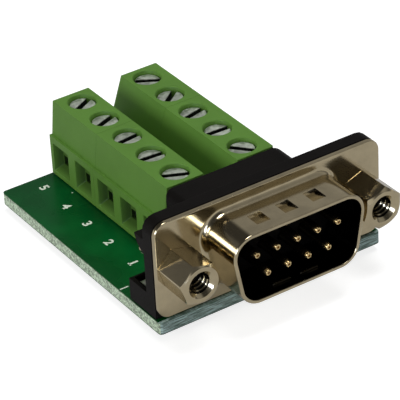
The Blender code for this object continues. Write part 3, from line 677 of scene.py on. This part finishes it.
def ink_finish(base):
    """Screen-printed ink, thin at its edges and broken by the mask's texture."""
    finish = Finish("screen_print", 0.6)
    wear = finish.noise(6, 3, 0.6)
    finish.set("Base Color", finish.blend(wear.over(0.5, 0.72) * 0.5, base, shade(base, 0.55)))
    finish.bump(wear, 0.2)
    return finish.material


def solder_finish(base):
    """Solder: bright, with a frosted skin and flux stains."""
    finish = Finish("solder", 0.3, 1.0)
    frost = finish.noise(5, 4, 0.6)
    flux = finish.noise(0.8, 2, 0.5)
    finish.set("Base Color", finish.blend(flux.over(0.5, 0.75) * 0.5, base, (0.42, 0.33, 0.16)))
    finish.set("Roughness", 0.22 + frost * 0.25)
    finish.bump(frost, 0.4)
    return finish.material


def covered_copper(colours):
    """Copper under the mask, a little lighter than the bare board."""
    finish = Finish("covered_copper", 0.28)
    tone = finish.noise(0.5, 3, 0.5)
    light = tuple(min(1, part * 1.5 + 0.012) for part in colours.mask)
    finish.set("Base Color", finish.blend(tone, shade(light, 0.85), light))
    finish.bump(tone, 0.1)
    return finish.material


def finishes():
    """What makes each finish, by name."""
    colours = bpy.context.scene.adapter_colours
    return {
        "bright_nickel": lambda: plated("bright_nickel", colours.nickel, 0.14, 0.5, 0.06, 0.08, inside_the_d),
        "turned_nickel": lambda: plated("turned_nickel", colours.nickel, 0.14, 0.4, 0.05, 0.05, between_threads),
        "gold_plating": lambda: plated("gold_plating", colours.gold, 0.22, 0.3, 0.1, 0.2, behind_the_tip),
        "zinc_plating": lambda: plated("zinc_plating", colours.zinc, 0.4, 0.8, 0.3, 0.8),
        "slotted_zinc": lambda: plated("slotted_zinc", colours.zinc, 0.42, 0.9, 0.3, 1.0, below_the_head, 0.9),
        "tin_plating": lambda: plated("tin_plating", colours.tin, 0.38, 0.5, 0.2, 0.5),
        "black_moulding": lambda: moulded("black_moulding_grain", colours.black, 0.5, 0.15, 0.06),
        "green_moulding": lambda: moulded("green_moulding_grain", colours.green, 0.5, 0.05, 0.22, in_the_recesses),
        "coated_board": lambda: coated_board(colours),
        "screen_print": lambda: ink_finish(colours.print),
        "solder": lambda: solder_finish(colours.tin),
        "covered_copper": lambda: covered_copper(colours),
    }


def look(name):
    """The finish of this name, made the first time it is asked for."""
    made = bpy.data.materials.get(f"look_{name}")
    if made is None:
        made = finishes()[name]()
        made.name = f"look_{name}"
    return made


# Pieces


def d_ring(offset, y, segments=14):
    """The D grown by an offset from the inside of the shell, at one distance along Y."""
    sizes = bpy.context.scene.adapter_connector
    slant = math.radians(10)
    radius = sizes.d_corner + offset
    half_height = sizes.d_height / 2 + offset
    slope = math.tan(slant)
    rounding = math.cos(slant) - 1 + (1 + math.sin(slant)) * slope
    top = sizes.d_width / 2 + offset + radius * rounding
    bottom = top - 2 * half_height * slope
    corners = [(-bottom, -half_height), (bottom, -half_height), (top, half_height), (-top, half_height)]
    return [along_y(*point, y) for point in rounded(corners, [radius] * 4, segments)]


def bend(centre, radius, first, last, steps):
    """The (offset, y) points along a bend, from one angle to another."""
    points = []
    for step in range(steps + 1):
        turn = math.radians(first + (last - first) * step / steps)
        points.append((centre[0] - radius * math.sin(turn), centre[1] + radius * math.cos(turn)))
    return points


def shell_rings(sizes):
    """The rings round the sheet: along the inside of the D, over its rim, back outside, round the flange."""
    wall, root, rim, roll = sizes.shell_wall, sizes.shell_root, sizes.rim_round, sizes.flange_roll
    inner, foot = rim / 2, (wall + root * 1.5, 0)
    inside = bend((wall + root, FLANGE_THICKNESS - wall - root), wall + root, 0, 90, 12)
    inside += [(0, inner - D_DEPTH), (inner * 0.3, inner * 0.3 - D_DEPTH), (inner, -D_DEPTH)]
    angles = [math.radians(22.5 * step) for step in range(5)]
    lip = [(wall - rim + rim * math.sin(a), rim - D_DEPTH - rim * math.cos(a)) for a in angles]
    outside = bend((wall + root, -root), root, 90, 0, 12) + [foot]
    rings = [d_ring(offset, y) for offset, y in inside + lip + outside]
    half = (SHELL_HIGH - SHELL_LOW) / 2
    for inset, y in ((roll, 0), (roll * 0.3, roll * 0.3), (0, roll), (0, FLANGE_THICKNESS)):
        out, up = half.x - inset, half.z - inset
        points = rounded(rectangle(-out, out, -up, up), [sizes.flange_corner - inset] * 4, 14)
        rings.append([along_y(*point, y) for point in points])
    return rings + [d_ring(foot[0], FLANGE_THICKNESS)]


def dimple(flip, x, sizes):
    """The cutter of a pressed wedge in the long side, deep at its back and running out towards the rim."""
    surface, start, depth = sizes.d_height / 2 + sizes.shell_wall, -sizes.dimple_start, sizes.dimple_depth
    end, half = start - sizes.dimple_length, sizes.dimple_width / 2
    profile = [
        (start, surface + OVERCUT), (start, surface), (start - depth * 0.35, surface - depth),
        (end, surface - depth * 0.12), (end, surface + OVERCUT),
    ]
    return prism([(y, flip * z) for y, z in profile], x - half, x + half, along_x)


def with_dimples(shell, sizes):
    """The shell with bumps inside the D and dents outside: three in the upper side, two in the lower."""
    grow = 0.00036
    half, surface = sizes.dimple_width / 2 + grow, sizes.d_height / 2
    back, front = grow - sizes.dimple_start, -sizes.dimple_start - sizes.dimple_length - grow
    for count, flip in ((3, 1), (2, -1)):
        places = [(number - (count - 1) / 2) * sizes.dimple_pitch for number in range(count)]
        low, high = sorted((flip * (surface - sizes.dimple_depth), flip * (surface + sizes.shell_wall / 2)))
        bumps = [box((x - half, front, low), (x + half, back, high), 0.00018) for x in places]
        shell = combine(shell, "UNION", gather(bumps))
        shell = combine(shell, "DIFFERENCE", gather([dimple(flip, x, sizes) for x in places]))
    return shell


class ADAPTER_OT_shell(Operator):
    """Make the drawn nickel shell: flange, rolled root, D, rounded rim and pressed dimples."""

    bl_idname = "adapter.shell"
    bl_label = "Shell"

    def execute(self, context):
        sizes = context.scene.adapter_connector
        shell = with_dimples(loft(shell_rings(sizes), closed=True), sizes)
        hole = [
            (0, -OVERCUT), (FLANGE_HOLE_RADIUS, -OVERCUT), (FLANGE_HOLE_RADIUS, OVERCUT), (0, OVERCUT),
        ]
        holes = [turned(hole, (0, 1, 0), jack_middle(side)) for side in SIDES]
        shell = combine(shell, "DIFFERENCE", gather(holes))
        piece("drawn_shell", shell, look("bright_nickel"), replaced=["dsub_shell"], crisp=50)
        return {"FINISHED"}


def jack_middle(side):
    """Where a jackscrew's axis crosses the flange."""
    low, high = span(f"jackscrew_{side}")
    return ((low.x + high.x) / 2, 0, 0)


def thread(centre, outer, pitch, start, steps=36):
    """A thread's ridge inside a bore: a triangle spun along a helix."""
    bm = bmesh.new()
    middle = Vector(centre)
    profile = [(outer, start), (THREAD_CREST_RADIUS, start + pitch / 2), (outer, start + pitch * 0.92)]
    verts = [bm.verts.new(middle + Vector((radius, y, 0))) for radius, y in profile]
    face = bm.faces.new(verts)
    made = bmesh.ops.spin(
        bm, geom=[face], cent=centre, axis=(0, 1, 0), dvec=(0, pitch / steps, 0),
        angle=2 * math.pi * THREAD_TURNS, steps=int(steps * THREAD_TURNS),
    )
    if not made["geom_last"]:
        raise RuntimeError("the thread's spin made nothing")
    bmesh.ops.recalc_face_normals(bm, faces=bm.faces)
    return bm


class ADAPTER_OT_jackscrews(Operator):
    """Make both hexagonal jackscrews, with a turned chamfer, a countersunk bore and its thread."""

    bl_idname = "adapter.jackscrews"
    bl_label = "Jackscrews"

    def execute(self, context):
        sizes = context.scene.adapter_connector
        along, foot = (0, 1, 0), -0.00001
        radius = sizes.hex_flats / 2 / math.cos(math.pi / 6)
        bore, stud = sizes.bore_radius, sizes.stud_radius
        for side, turn in HEX_TURNS.items():
            low, high = span(f"jackscrew_{side}")
            front, end = low.y, high.y
            centre = jack_middle(side)
            corners = [math.radians(turn + 60 * corner) for corner in range(6)]
            outline = [(centre[0] + radius * math.cos(a), radius * math.sin(a)) for a in corners]
            hexagon = prism(outline, front, foot, along_y)
            long_edges = [e for e in hexagon.edges if abs(e.verts[0].co.y - e.verts[1].co.y) > 0.001]
            round_edges(hexagon, long_edges, 0.0001)
            foot_edges = [e for e in hexagon.edges if min(v.co.y for v in e.verts) > foot * 5]
            round_edges(hexagon, foot_edges, 0.00012)
            past = OVERCUT / 2
            out = radius + past * (radius - sizes.hex_face) / sizes.hex_chamfer
            barrel = [
                (0, front), (sizes.hex_face, front), (out, front + sizes.hex_chamfer + past), (out, past), (0, past),
            ]
            screw = combine(hexagon, "INTERSECT", turned(barrel, along, centre, 96))
            shank = [(0, -0.0008), (stud, -0.0008), (stud, end - 0.0003), (stud - 0.0003, end), (0, end)]
            screw = combine(screw, "UNION", turned(shank, along, centre, 48))
            hollow = [
                (0, front - OVERCUT), (0.0022, front - OVERCUT), (0.00178, front - 0.00005),
                (0.00168, front + 0.00002), (bore, front + 0.00042), (bore, front + BORE_DEPTH),
                (0, front + BORE_DEPTH + 0.0004),
            ]
            screw = combine(screw, "DIFFERENCE", turned(hollow, along, centre, 64))
            ridge = thread(centre, bore + 0.00004, sizes.thread_pitch, front + 0.00035)
            piece(
                f"threaded_standoff_{side}", gather([screw, ridge]), look("turned_nickel"),
                replaced=[f"jackscrew_{side}"], crisp=25,
            )
        return {"FINISHED"}


class ADAPTER_OT_pins(Operator):
    """Make the nine gold pins: a chamfered round front, a step, a bend and a straight tail."""

    bl_idname = "adapter.pins"
    bl_label = "Contact pins"

    def execute(self, context):
        sizes = context.scene.adapter_connector
        radius, reach = sizes.pin_radius, sizes.pin_reach
        for number in range(1, 10):
            low, high = span(f"contact_pin_{number}")
            x, z = (low.x + high.x) / 2, high.z - radius
            tail_y = high.y - PIN_TAIL_PLACE
            front = [
                (0, -reach + 0.0005), (radius * 0.26, -reach + 0.0004), (radius * 0.34, -reach + 0.00002),
                (radius * 0.5, -reach), (radius * 0.66, -reach + radius * 0.08),
                (radius * 0.92, -reach + radius * 0.62), (radius, -reach + radius),
                (radius, 0.0007), (radius * 0.92, 0.0008), (0, 0.0008),
            ]
            bar = bent_bar(x, z, 0.0006, tail_y, low.z)
            piece(
                f"gold_pin_{number}", gather([turned(front, (0, 1, 0), (x, 0, z), 32), bar]),
                look("gold_plating"), replaced=[f"contact_pin_{number}"], crisp=24,
            )
        return {"FINISHED"}


def bent_bar(x, z, start, tail_y, end):
    """A round bar straight back, round a quarter bend and straight down."""
    bm = bmesh.new()
    start_place = Matrix.Translation((x, start, z)) @ Matrix.Rotation(math.pi / 2, 4, "X")
    bmesh.ops.create_circle(bm, cap_ends=True, segments=14, radius=PIN_BAR_RADIUS, matrix=start_place)
    ring = pushed(bm, bm.faces[:], (0, tail_y - PIN_BEND_RADIUS - start, 0))
    axle = Vector((x, tail_y - PIN_BEND_RADIUS, z - PIN_BEND_RADIUS))
    for _ in range(6):
        ring = pushed(bm, ring, (0, 0, 0))
        verts = list({vert for face in ring for vert in face.verts})
        bmesh.ops.rotate(bm, cent=axle, matrix=Matrix.Rotation(-math.radians(15), 3, "X"), verts=verts)
    pushed(bm, ring, (0, 0, end - (z - PIN_BEND_RADIUS)))
    bmesh.ops.recalc_face_normals(bm, faces=bm.faces)
    return bm


def pushed(bm, faces, travel):
    """Extrude faces, move them, and give back the moved ones."""
    made = bmesh.ops.extrude_face_region(bm, geom=faces)["geom"]
    moved = [item for item in made if isinstance(item, bmesh.types.BMFace)]
    bmesh.ops.translate(bm, vec=travel, verts=list({vert for face in moved for vert in face.verts}))
    bmesh.ops.delete(bm, geom=[face for face in faces if face.is_valid], context="FACES_ONLY")
    return moved


class ADAPTER_OT_housing(Operator):
    """Make the black connector housing, with its round shoulders and softened edges."""

    bl_idname = "adapter.housing"
    bl_label = "Connector housing"

    def execute(self, context):
        sizes = context.scene.adapter_connector
        shoulders = [shoulder(sign, sizes.shoulder) for sign in SIDES.values()]
        bm = softened("connector_housing", 0.00007, gather(shoulders))
        piece(
            "moulded_housing", bm, look("black_moulding"),
            replaced=["connector_housing"], moved=False,
        )
        return {"FINISHED"}


def shoulder(sign, radius):
    """The cutter that takes a square top corner of the housing's body down to a round one."""
    half, top = HOUSING_HALF_WIDTH, BOARD_HIGH.z + HOUSING_HEIGHT
    out, up = half - radius, top - radius
    arc = [math.radians(90 - 10 * step) for step in range(10)]
    outline = [(out + radius * math.cos(a), up + radius * math.sin(a)) for a in arc]
    outline += [(half + OVERCUT, up), (half + OVERCUT, top + OVERCUT), (out, top + OVERCUT)]
    return prism([(sign * x, z) for x, z in outline], HOUSING_HOOD_BACK, 0.012, along_y)


def pole_places(side, poles):
    """The middle of each pole's screw, and the heights of its foot and its head's top."""
    places = []
    for pole in poles:
        low, high = span(f"terminal_screw_{side}_{pole}")
        places.append(((low.x + high.x) / 2, (low.y + high.y) / 2, low.z, high.z))
    return places


class ADAPTER_OT_terminal_blocks(Operator):
    """Make the four green terminal blocks: sloped faces, chamfered wells and rounded wire entries."""

    bl_idname = "adapter.terminal_blocks"
    bl_label = "Terminal blocks"

    def execute(self, context):
        sizes = context.scene.adapter_terminals
        for side, sign in SIDES.items():
            front, rear = (span(f"terminal_housing_{side}_{where}") for where in BLOCKS)
            seam = (front[1].y + rear[0].y) / 2
            front[1].y, rear[0].y = seam - 0.00001, seam + 0.00001
            for (low, high), (where, poles) in zip((front, rear), BLOCKS.items()):
                block = block_body(low, high, sign, seam, sizes)
                cuts = [pole_cuts(side, place, low, high, sizes) for place in pole_places(side, poles)]
                for shapes in zip(*cuts):
                    block = combine(block, "DIFFERENCE", gather(shapes))
                piece(
                    f"green_block_{side}_{where}", block, look("green_moulding"),
                    replaced=[f"terminal_housing_{side}_{where}"], crisp=35,
                )
        return {"FINISHED"}


def block_body(low, high, sign, seam, sizes):
    """A block before it is cut. Its edges are sharper where it meets its neighbour."""
    inner, outer = sorted((abs(low.x), abs(high.x)))
    ledge = BOARD_HIGH.z + ROW_LEDGE
    section = [
        (inner, low.z), (outer, low.z), (outer, ledge), (outer - ROW_LEDGE_STEP, ledge),
        (ROW_TOP_OUTER, high.z), (ROW_TOP_INNER, high.z), (inner, BOARD_HIGH.z + ROW_KNEE),
    ]
    block = prism([(sign * out, z) for out, z in section], low.y, high.y, along_y)
    for ends, edge, segments in ((0, sizes.edge, 3), (2, sizes.edge / 4, 2)):
        chosen = [e for e in block.edges if sum(abs(v.co.y - seam) < 0.00002 for v in e.verts) == ends]
        round_edges(block, chosen, edge, segments)
    return block


def pole_cuts(side, place, low, high, sizes):
    """The cutters of one pole: the well over its screw, the cage's shaft, the screw's hole and the wire entry."""
    x, y, _, head_top = place
    base, top, outer = low.z - OVERCUT, high.z, max(abs(low.x), abs(high.x))
    well, flare, well_floor = sizes.well_radius, sizes.well_chamfer, head_top - WELL_BELOW_HEAD
    profile = [
        (0, well_floor), (well, well_floor), (well, top - flare), (well + flare * 0.35, top - flare * 0.35),
        (well + flare, top), (well + flare, top + OVERCUT), (0, top + OVERCUT),
    ]
    through = well_floor + 0.0002
    hole = [(0, base), (SCREW_HOLE_RADIUS, base), (SCREW_HOLE_RADIUS, through), (0, through)]
    cage_low, cage_high = span(f"clamp_cage_{side}_1")
    reach = (cage_high - cage_low) / 2 + Vector((0.0002, 0.0002, 0))
    return (
        turned(profile, (0, 0, 1), (x, y, 0), 64),
        box((x - reach.x, y - reach.y, base), (x + reach.x, y + reach.y, well_floor - WELL_FLOOR_THICKNESS)),
        turned(hole, (0, 0, 1), (x, y, 0), 32),
        mouth(SIDES[side], y, outer, sizes),
        entry(SIDES[side], y, outer),
    )


def mouth(sign, y, outer, sizes):
    """The cutter of a wire entry's recess, flared so that its rim comes out rounded."""
    bottom, top = (BOARD_HIGH.z + height for height in RECESS_HEIGHTS)
    half, flare = sizes.mouth_width / 2, sizes.mouth_round
    rings = []
    for out, grow, lift, drop in (
        (outer + OVERCUT, flare, 0, 0), (outer, flare, 0, 0), (outer - flare * 0.3, flare * 0.3, 0, 0),
        (outer - flare, 0, 0, 0), (outer - RECESS_DEPTH, -0.0003, 0.0003, 0.0006),
    ):
        outline = rectangle(y - half - grow, y + half + grow, bottom - grow + lift, top + grow - drop)
        rings.append([(sign * out, a, b) for a, b in rounded(outline, [0.00012] * 4, 3)])
    return loft(rings)


def entry(sign, y, outer):
    """The cutter of the smaller hole in the recess's floor."""
    bottom, top = (BOARD_HIGH.z + height for height in ENTRY_HEIGHTS)
    reach = sorted((sign * 0.005, sign * (outer - 0.0011)))
    return box((reach[0], y - ENTRY_HALF_WIDTH, bottom), (reach[1], y + ENTRY_HALF_WIDTH, top))


class ADAPTER_OT_terminal_screws(Operator):
    """Make the ten slotted screws: a rounded head, its slot and the shank, each on its own body."""

    bl_idname = "adapter.terminal_screws"
    bl_label = "Terminal screws"

    def execute(self, context):
        sizes = context.scene.adapter_terminals
        for side in SIDES:
            for pole, (x, y, low, top), turn in zip(POLES, pole_places(side, POLES), SLOT_TURNS[side]):
                edge, head, under = sizes.head_round, sizes.head_radius, top - HEAD_HEIGHT
                profile = [
                    (0, top), (head - edge, top), (head - edge * 0.35, top - edge * 0.3), (head, top - edge),
                    (head, under), (SHANK_RADIUS, under), (SHANK_RADIUS, low + 0.0002),
                    (SHANK_RADIUS - 0.0002, low), (0, low),
                ]
                screw = turned(profile, (0, 0, 1), (x, y, 0), 64)
                half = sizes.slot_width / 2
                slot = box((-0.003, -half, top - sizes.slot_depth), (0.003, half, top + OVERCUT))
                place = Matrix.Translation((x, y, 0)) @ Matrix.Rotation(math.radians(turn), 4, "Z")
                bmesh.ops.transform(slot, matrix=place, verts=slot.verts)
                screw = combine(screw, "DIFFERENCE", slot)
                rim = [
                    e for e in screw.edges
                    if all(abs(v.co.z - top) < 1e-6 for v in e.verts) and e.is_manifold
                    and e.calc_face_angle() > 1.2
                ]
                round_edges(screw, rim, 0.00007)
                piece(
                    f"slotted_screw_{side}_{pole}", screw, look("slotted_zinc"),
                    body=f"screw_{side}_{pole}", replaced=[f"terminal_screw_{side}_{pole}"],
                )
        return {"FINISHED"}


class ADAPTER_OT_clamps(Operator):
    """Give the clamp cages, contacts, clinch nuts and board locks their finishes."""

    bl_idname = "adapter.clamps"
    bl_label = "Clamps and locks"

    def execute(self, context):
        for side in SIDES:
            dress(f"clinch_nut_{side}", look("turned_nickel"))
            dress(f"board_lock_{side}", look("tin_plating"))
            for pole in POLES:
                dress(f"clamp_cage_{side}_{pole}", look("zinc_plating"))
                dress(f"terminal_contact_{side}_{pole}", look("tin_plating"))
        return {"FINISHED"}


def strip(points, width, low, high):
    """A flat strip of copper along a path: a thin block for each run and a disc at each joint."""
    shapes = []
    for start, end in zip(points, points[1:]):
        start, end = Vector(start), Vector(end)
        run = end - start
        bar = box((-run.length / 2, -width / 2, low), (run.length / 2, width / 2, high))
        place = Matrix.Translation((*(start + end) / 2, 0)) @ Matrix.Rotation(math.atan2(run.y, run.x), 4, "Z")
        bmesh.ops.transform(bar, matrix=place, verts=bar.verts)
        shapes.append(bar)
    disc = [(0, low), (width / 2, low), (width / 2, high), (0, high)]
    return shapes + [turned(disc, (0, 0, 1), (*point, 0), 12) for point in points[1:-1]]


def joint(x, y, pad, tail, rise):
    """A pad under the board with the solder's hollow cone down a tail."""
    face = BOARD_LOW.z
    profile = [
        (0, face + 0.0002), (pad, face + 0.0002), (pad, face - 0.00004), (pad * 0.94, face - 0.00006),
        (tail + (pad - tail) * 0.5, face - rise * 0.2), (tail + (pad - tail) * 0.22, face - rise * 0.5),
        (tail * 1.03, face - rise), (0, face - rise),
    ]
    return turned(profile, (0, 0, 1), (x, y, 0), 24)


class ADAPTER_OT_board(Operator):
    """Finish the board, and make its covered traces, pads and solder joints underneath."""

    bl_idname = "adapter.board"
    bl_label = "Board"

    def execute(self, context):
        sizes = context.scene.adapter_board
        dress("circuit_board", look("coated_board"))
        joints, pins = [], []
        for number in range(1, 10):
            low, high = span(f"contact_pin_{number}")
            pins.append(((low.x + high.x) / 2, high.y - PIN_TAIL_PLACE))
            joints.append(joint(*pins[-1], sizes.pad_radius, *PIN_SOLDER))
        legs = {}
        for side, sign in SIDES.items():
            for pole in POLES:
                low, high = span(f"terminal_contact_{side}_{pole}")
                legs[side, pole] = (sign * LEG_PLACE, (low.y + high.y) / 2)
                joints.append(joint(*legs[side, pole], LEG_PAD_RADIUS, *LEG_SOLDER))
        piece("solder_joints", gather(joints), look("solder"), crisp=60)
        traces = []
        for pole, lane in zip(POLES, TRACE_LANES):
            start, end = Vector(pins[pole - 1]), Vector(legs["left", pole])
            if pole == 1:
                path = [start, (start.x, end.y - abs(end.x - start.x)), end]
            else:
                away, back = start.y + 0.0002, end.y - abs(end.x - lane)
                path = [start, (start.x, away), (lane, away + abs(start.x - lane)), (lane, back), end]
            face = BOARD_LOW.z
            traces += strip(path, sizes.trace_width, face - sizes.copper, face + 0.0001)
        piece("covered_traces", gather(traces), look("covered_copper"))
        return {"FINISHED"}


class ADAPTER_OT_print(Operator):
    """Print the terminal numbers, a corner line and a dot on the board."""

    bl_idname = "adapter.print"
    bl_label = "Board print"

    def execute(self, context):
        sizes = context.scene.adapter_board
        low, high = BOARD_HIGH.z - 0.00001, BOARD_HIGH.z + sizes.ink
        shapes = [numeral(pole, place, sizes) for pole, place in zip(POLES, DIGIT_PLACES)]
        shapes.append(box((*LINE_LOW, low), (*LINE_HIGH, high)))
        dot = [(0, low), (DOT_RADIUS, low), (DOT_RADIUS, high), (0, high)]
        shapes.append(turned(dot, (0, 0, 1), (*DOT_PLACE, 0), 16))
        piece("board_print", gather(shapes), look("screen_print"))
        return {"FINISHED"}


def numeral(digit, place, sizes):
    """One printed digit as a thin raised mesh, read from the left side of the board."""
    curve = bpy.data.curves.new("numeral", "FONT")
    curve.body = str(digit)
    curve.size = sizes.digit_height / 0.7
    curve.extrude = sizes.ink / 2
    curve.offset = 0.00004
    curve.align_x = "CENTER"
    curve.align_y = "CENTER"
    obj = bpy.data.objects.new("numeral", curve)
    bpy.context.scene.collection.objects.link(obj)
    graph = bpy.context.evaluated_depsgraph_get()
    mesh = bpy.data.meshes.new_from_object(obj.evaluated_get(graph))
    bm = bmesh.new()
    bm.from_mesh(mesh)
    bpy.data.objects.remove(obj)
    bpy.data.curves.remove(curve)
    bpy.data.meshes.remove(mesh)
    bmesh.ops.remove_doubles(bm, verts=bm.verts, dist=1e-7)
    if digit == 1:
        foot, half = -sizes.digit_height / 2, sizes.ink / 2
        bm = gather([bm, box((-0.00028, foot, -half), (0.00028, foot + 0.00016, half))])
    turn = Matrix.Rotation(-math.pi / 2, 4, "Z") @ Matrix.Diagonal((1.12, 1, 1, 1))
    spot = Matrix.Translation((*place, BOARD_HIGH.z + sizes.ink / 2))
    bmesh.ops.transform(bm, matrix=spot @ turn, verts=bm.verts)
    return bm


# Stage


def soft_light(name, place, target, size, power, tint=(1, 1, 1), gloss_only=False):
    """A soft box that faces a point. One may be there for the gloss alone, as a reflector is."""
    light = bpy.data.lights.new(name, "AREA")
    light.shape = "RECTANGLE"
    light.size, light.size_y = size
    light.energy = power
    light.color = tint
    obj = bpy.data.objects.new(name, light)
    obj.location = place
    obj.rotation_euler = (Vector(target) - Vector(place)).to_track_quat("-Z", "Y").to_euler()
    obj.visible_diffuse = not gloss_only
    bpy.context.scene.collection.objects.link(obj)


def white_room(scene, ambient):
    """A world that is white to the camera and a soft grey light to the rest.

    Gloss sees a pale room with a dark ceiling, and darkness in its right corner.
    """
    scene.world = bpy.data.worlds.new("white_room")
    scene.world.use_nodes = True
    nodes = Nodes(scene.world.node_tree, "Background")
    way = nodes.add("ShaderNodeTexCoord", {}, {}, "Generated")
    across, height = (nodes.add("ShaderNodeSeparateXYZ", {}, {"Vector": way}, axis) for axis in "XZ")
    ceiling = height.over(0.24, 0.36)
    corner = height.over(0.08, 0.22) * across.over(0.45, 0.6)
    dark = ceiling.math("MAXIMUM", ceiling, corner)
    lit = ceiling * across.over(0.25, 0.5) * 0.25
    room = 0.65 - dark.over(0, 1) * 0.53 + lit - height.over(0.52, 0.66) * 0.07
    camera = ray(nodes, "Camera")
    seen = camera.math("MAXIMUM", camera, ray(nodes, "Transmission"))
    level = ambient + seen * (1 - ambient)
    nodes.set("Color", (1, 1, 1, 1))
    nodes.set("Strength", level + ray(nodes, "Glossy") * (room - level))


def ray(nodes, kind):
    """Whether the light path that is being followed is of a kind."""
    return nodes.add("ShaderNodeLightPath", {}, {}, f"Is {kind} Ray")


def floor_finish():
    """White paper that is white to the camera, pale to gloss, and still takes a shadow."""
    settings = {"Base Color": (0.5, 0.5, 0.5, 1), "Specular IOR Level": 0, "Emission Color": (1, 1, 1, 1)}
    finish = Finish("white_paper", 0.9, 0.0, settings)
    finish.set("Emission Strength", (ray(finish, "Camera") + ray(finish, "Glossy") * 0.2) * 0.8)
    return finish.material


class ADAPTER_OT_stage(Operator):
    """Set up the floor, the soft lights, the white room and the camera."""

    bl_idname = "adapter.stage"
    bl_label = "Stage"

    def execute(self, context):
        scene = context.scene
        scene.view_settings.view_transform = "Standard"
        bm = bmesh.new()
        bmesh.ops.create_grid(bm, x_segments=1, y_segments=1, size=3)
        mesh = bpy.data.meshes.new("floor")
        bm.to_mesh(mesh)
        bm.free()
        mesh.materials.append(floor_finish())
        floor = bpy.data.objects.new("floor", mesh)
        scene.collection.objects.link(floor)
        middle = (0, 0, 0.008)
        soft_light("window_box", (-0.6, -0.02, 0.2), middle, (0.35, 0.25), 1.6)
        soft_light("low_box", (-0.48, -0.5, 0.08), middle, (0.34, 0.16), 2.8, (0.62, 0.74, 1.0), gloss_only=True)
        soft_light("top_box", (0.06, -0.05, 0.6), middle, (0.25, 0.25), 1.9)
        white_room(scene, 0.17)
        self.camera(scene)
        return {"FINISHED"}

    def camera(self, scene):
        """The camera at the photographed angle."""
        stage = scene.adapter_stage
        azimuth, elevation, roll = (math.radians(v) for v in (stage.azimuth, stage.elevation, stage.roll))
        ahead = Vector((math.sin(azimuth), -math.cos(azimuth), 0))
        back = ahead * math.cos(elevation) + Vector((0, 0, math.sin(elevation)))
        level = Vector((math.cos(azimuth), math.sin(azimuth), 0))
        upright = back.cross(level)
        right = level * math.cos(roll) + upright * math.sin(roll)
        up = upright * math.cos(roll) - level * math.sin(roll)
        eye = CENTRE + back * stage.distance + right * stage.shift_x + up * stage.shift_z
        data = bpy.data.cameras.new("camera")
        data.lens = stage.lens
        data.sensor_width = 36
        data.sensor_fit = "HORIZONTAL"
        data.clip_start = 0.01
        camera = bpy.data.objects.new("camera", data)
        camera.matrix_world = Matrix.Translation(eye) @ Matrix((right, up, back)).transposed().to_4x4()
        scene.collection.objects.link(camera)
        scene.camera = camera


GROUPS = {
    "adapter_connector": ConnectorSizes,
    "adapter_terminals": TerminalSizes,
    "adapter_board": BoardSizes,
    "adapter_colours": FinishColours,
    "adapter_stage": StageSettings,
}
OPERATORS = (
    ADAPTER_OT_stage, ADAPTER_OT_shell, ADAPTER_OT_jackscrews, ADAPTER_OT_pins, ADAPTER_OT_housing,
    ADAPTER_OT_terminal_blocks, ADAPTER_OT_terminal_screws, ADAPTER_OT_clamps, ADAPTER_OT_board, ADAPTER_OT_print,
)


class ADAPTER_PT_sidebar(Panel):
    """Lists the sizes, colours and pieces of the adapter."""

    bl_idname = "ADAPTER_PT_sidebar"
    bl_label = "Adapter"
    bl_space_type = "VIEW_3D"
    bl_region_type = "UI"
    bl_category = "Adapter"

    def draw(self, context):
        for group, kind in GROUPS.items():
            box = self.layout.box()
            box.label(text=kind.__doc__)
            for name in kind.__annotations__:
                box.prop(getattr(context.scene, group), name)
        for operator in OPERATORS:
            self.layout.operator(operator.bl_idname)


CLASSES = (*GROUPS.values(), *OPERATORS, ADAPTER_PT_sidebar)


def register():
    for kind in CLASSES:
        bpy.utils.register_class(kind)
    for name, kind in GROUPS.items():
        setattr(bpy.types.Scene, name, PointerProperty(type=kind))


def unregister():
    for name in GROUPS:
        delattr(bpy.types.Scene, name)
    for kind in reversed(CLASSES):
        bpy.utils.unregister_class(kind)


def main():
    """Make every piece."""
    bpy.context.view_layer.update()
    register()
    for operator in OPERATORS:
        group, name = operator.bl_idname.split(".")
        getattr(getattr(bpy.ops, group), name)()


if __name__ == "__main__":
    main()
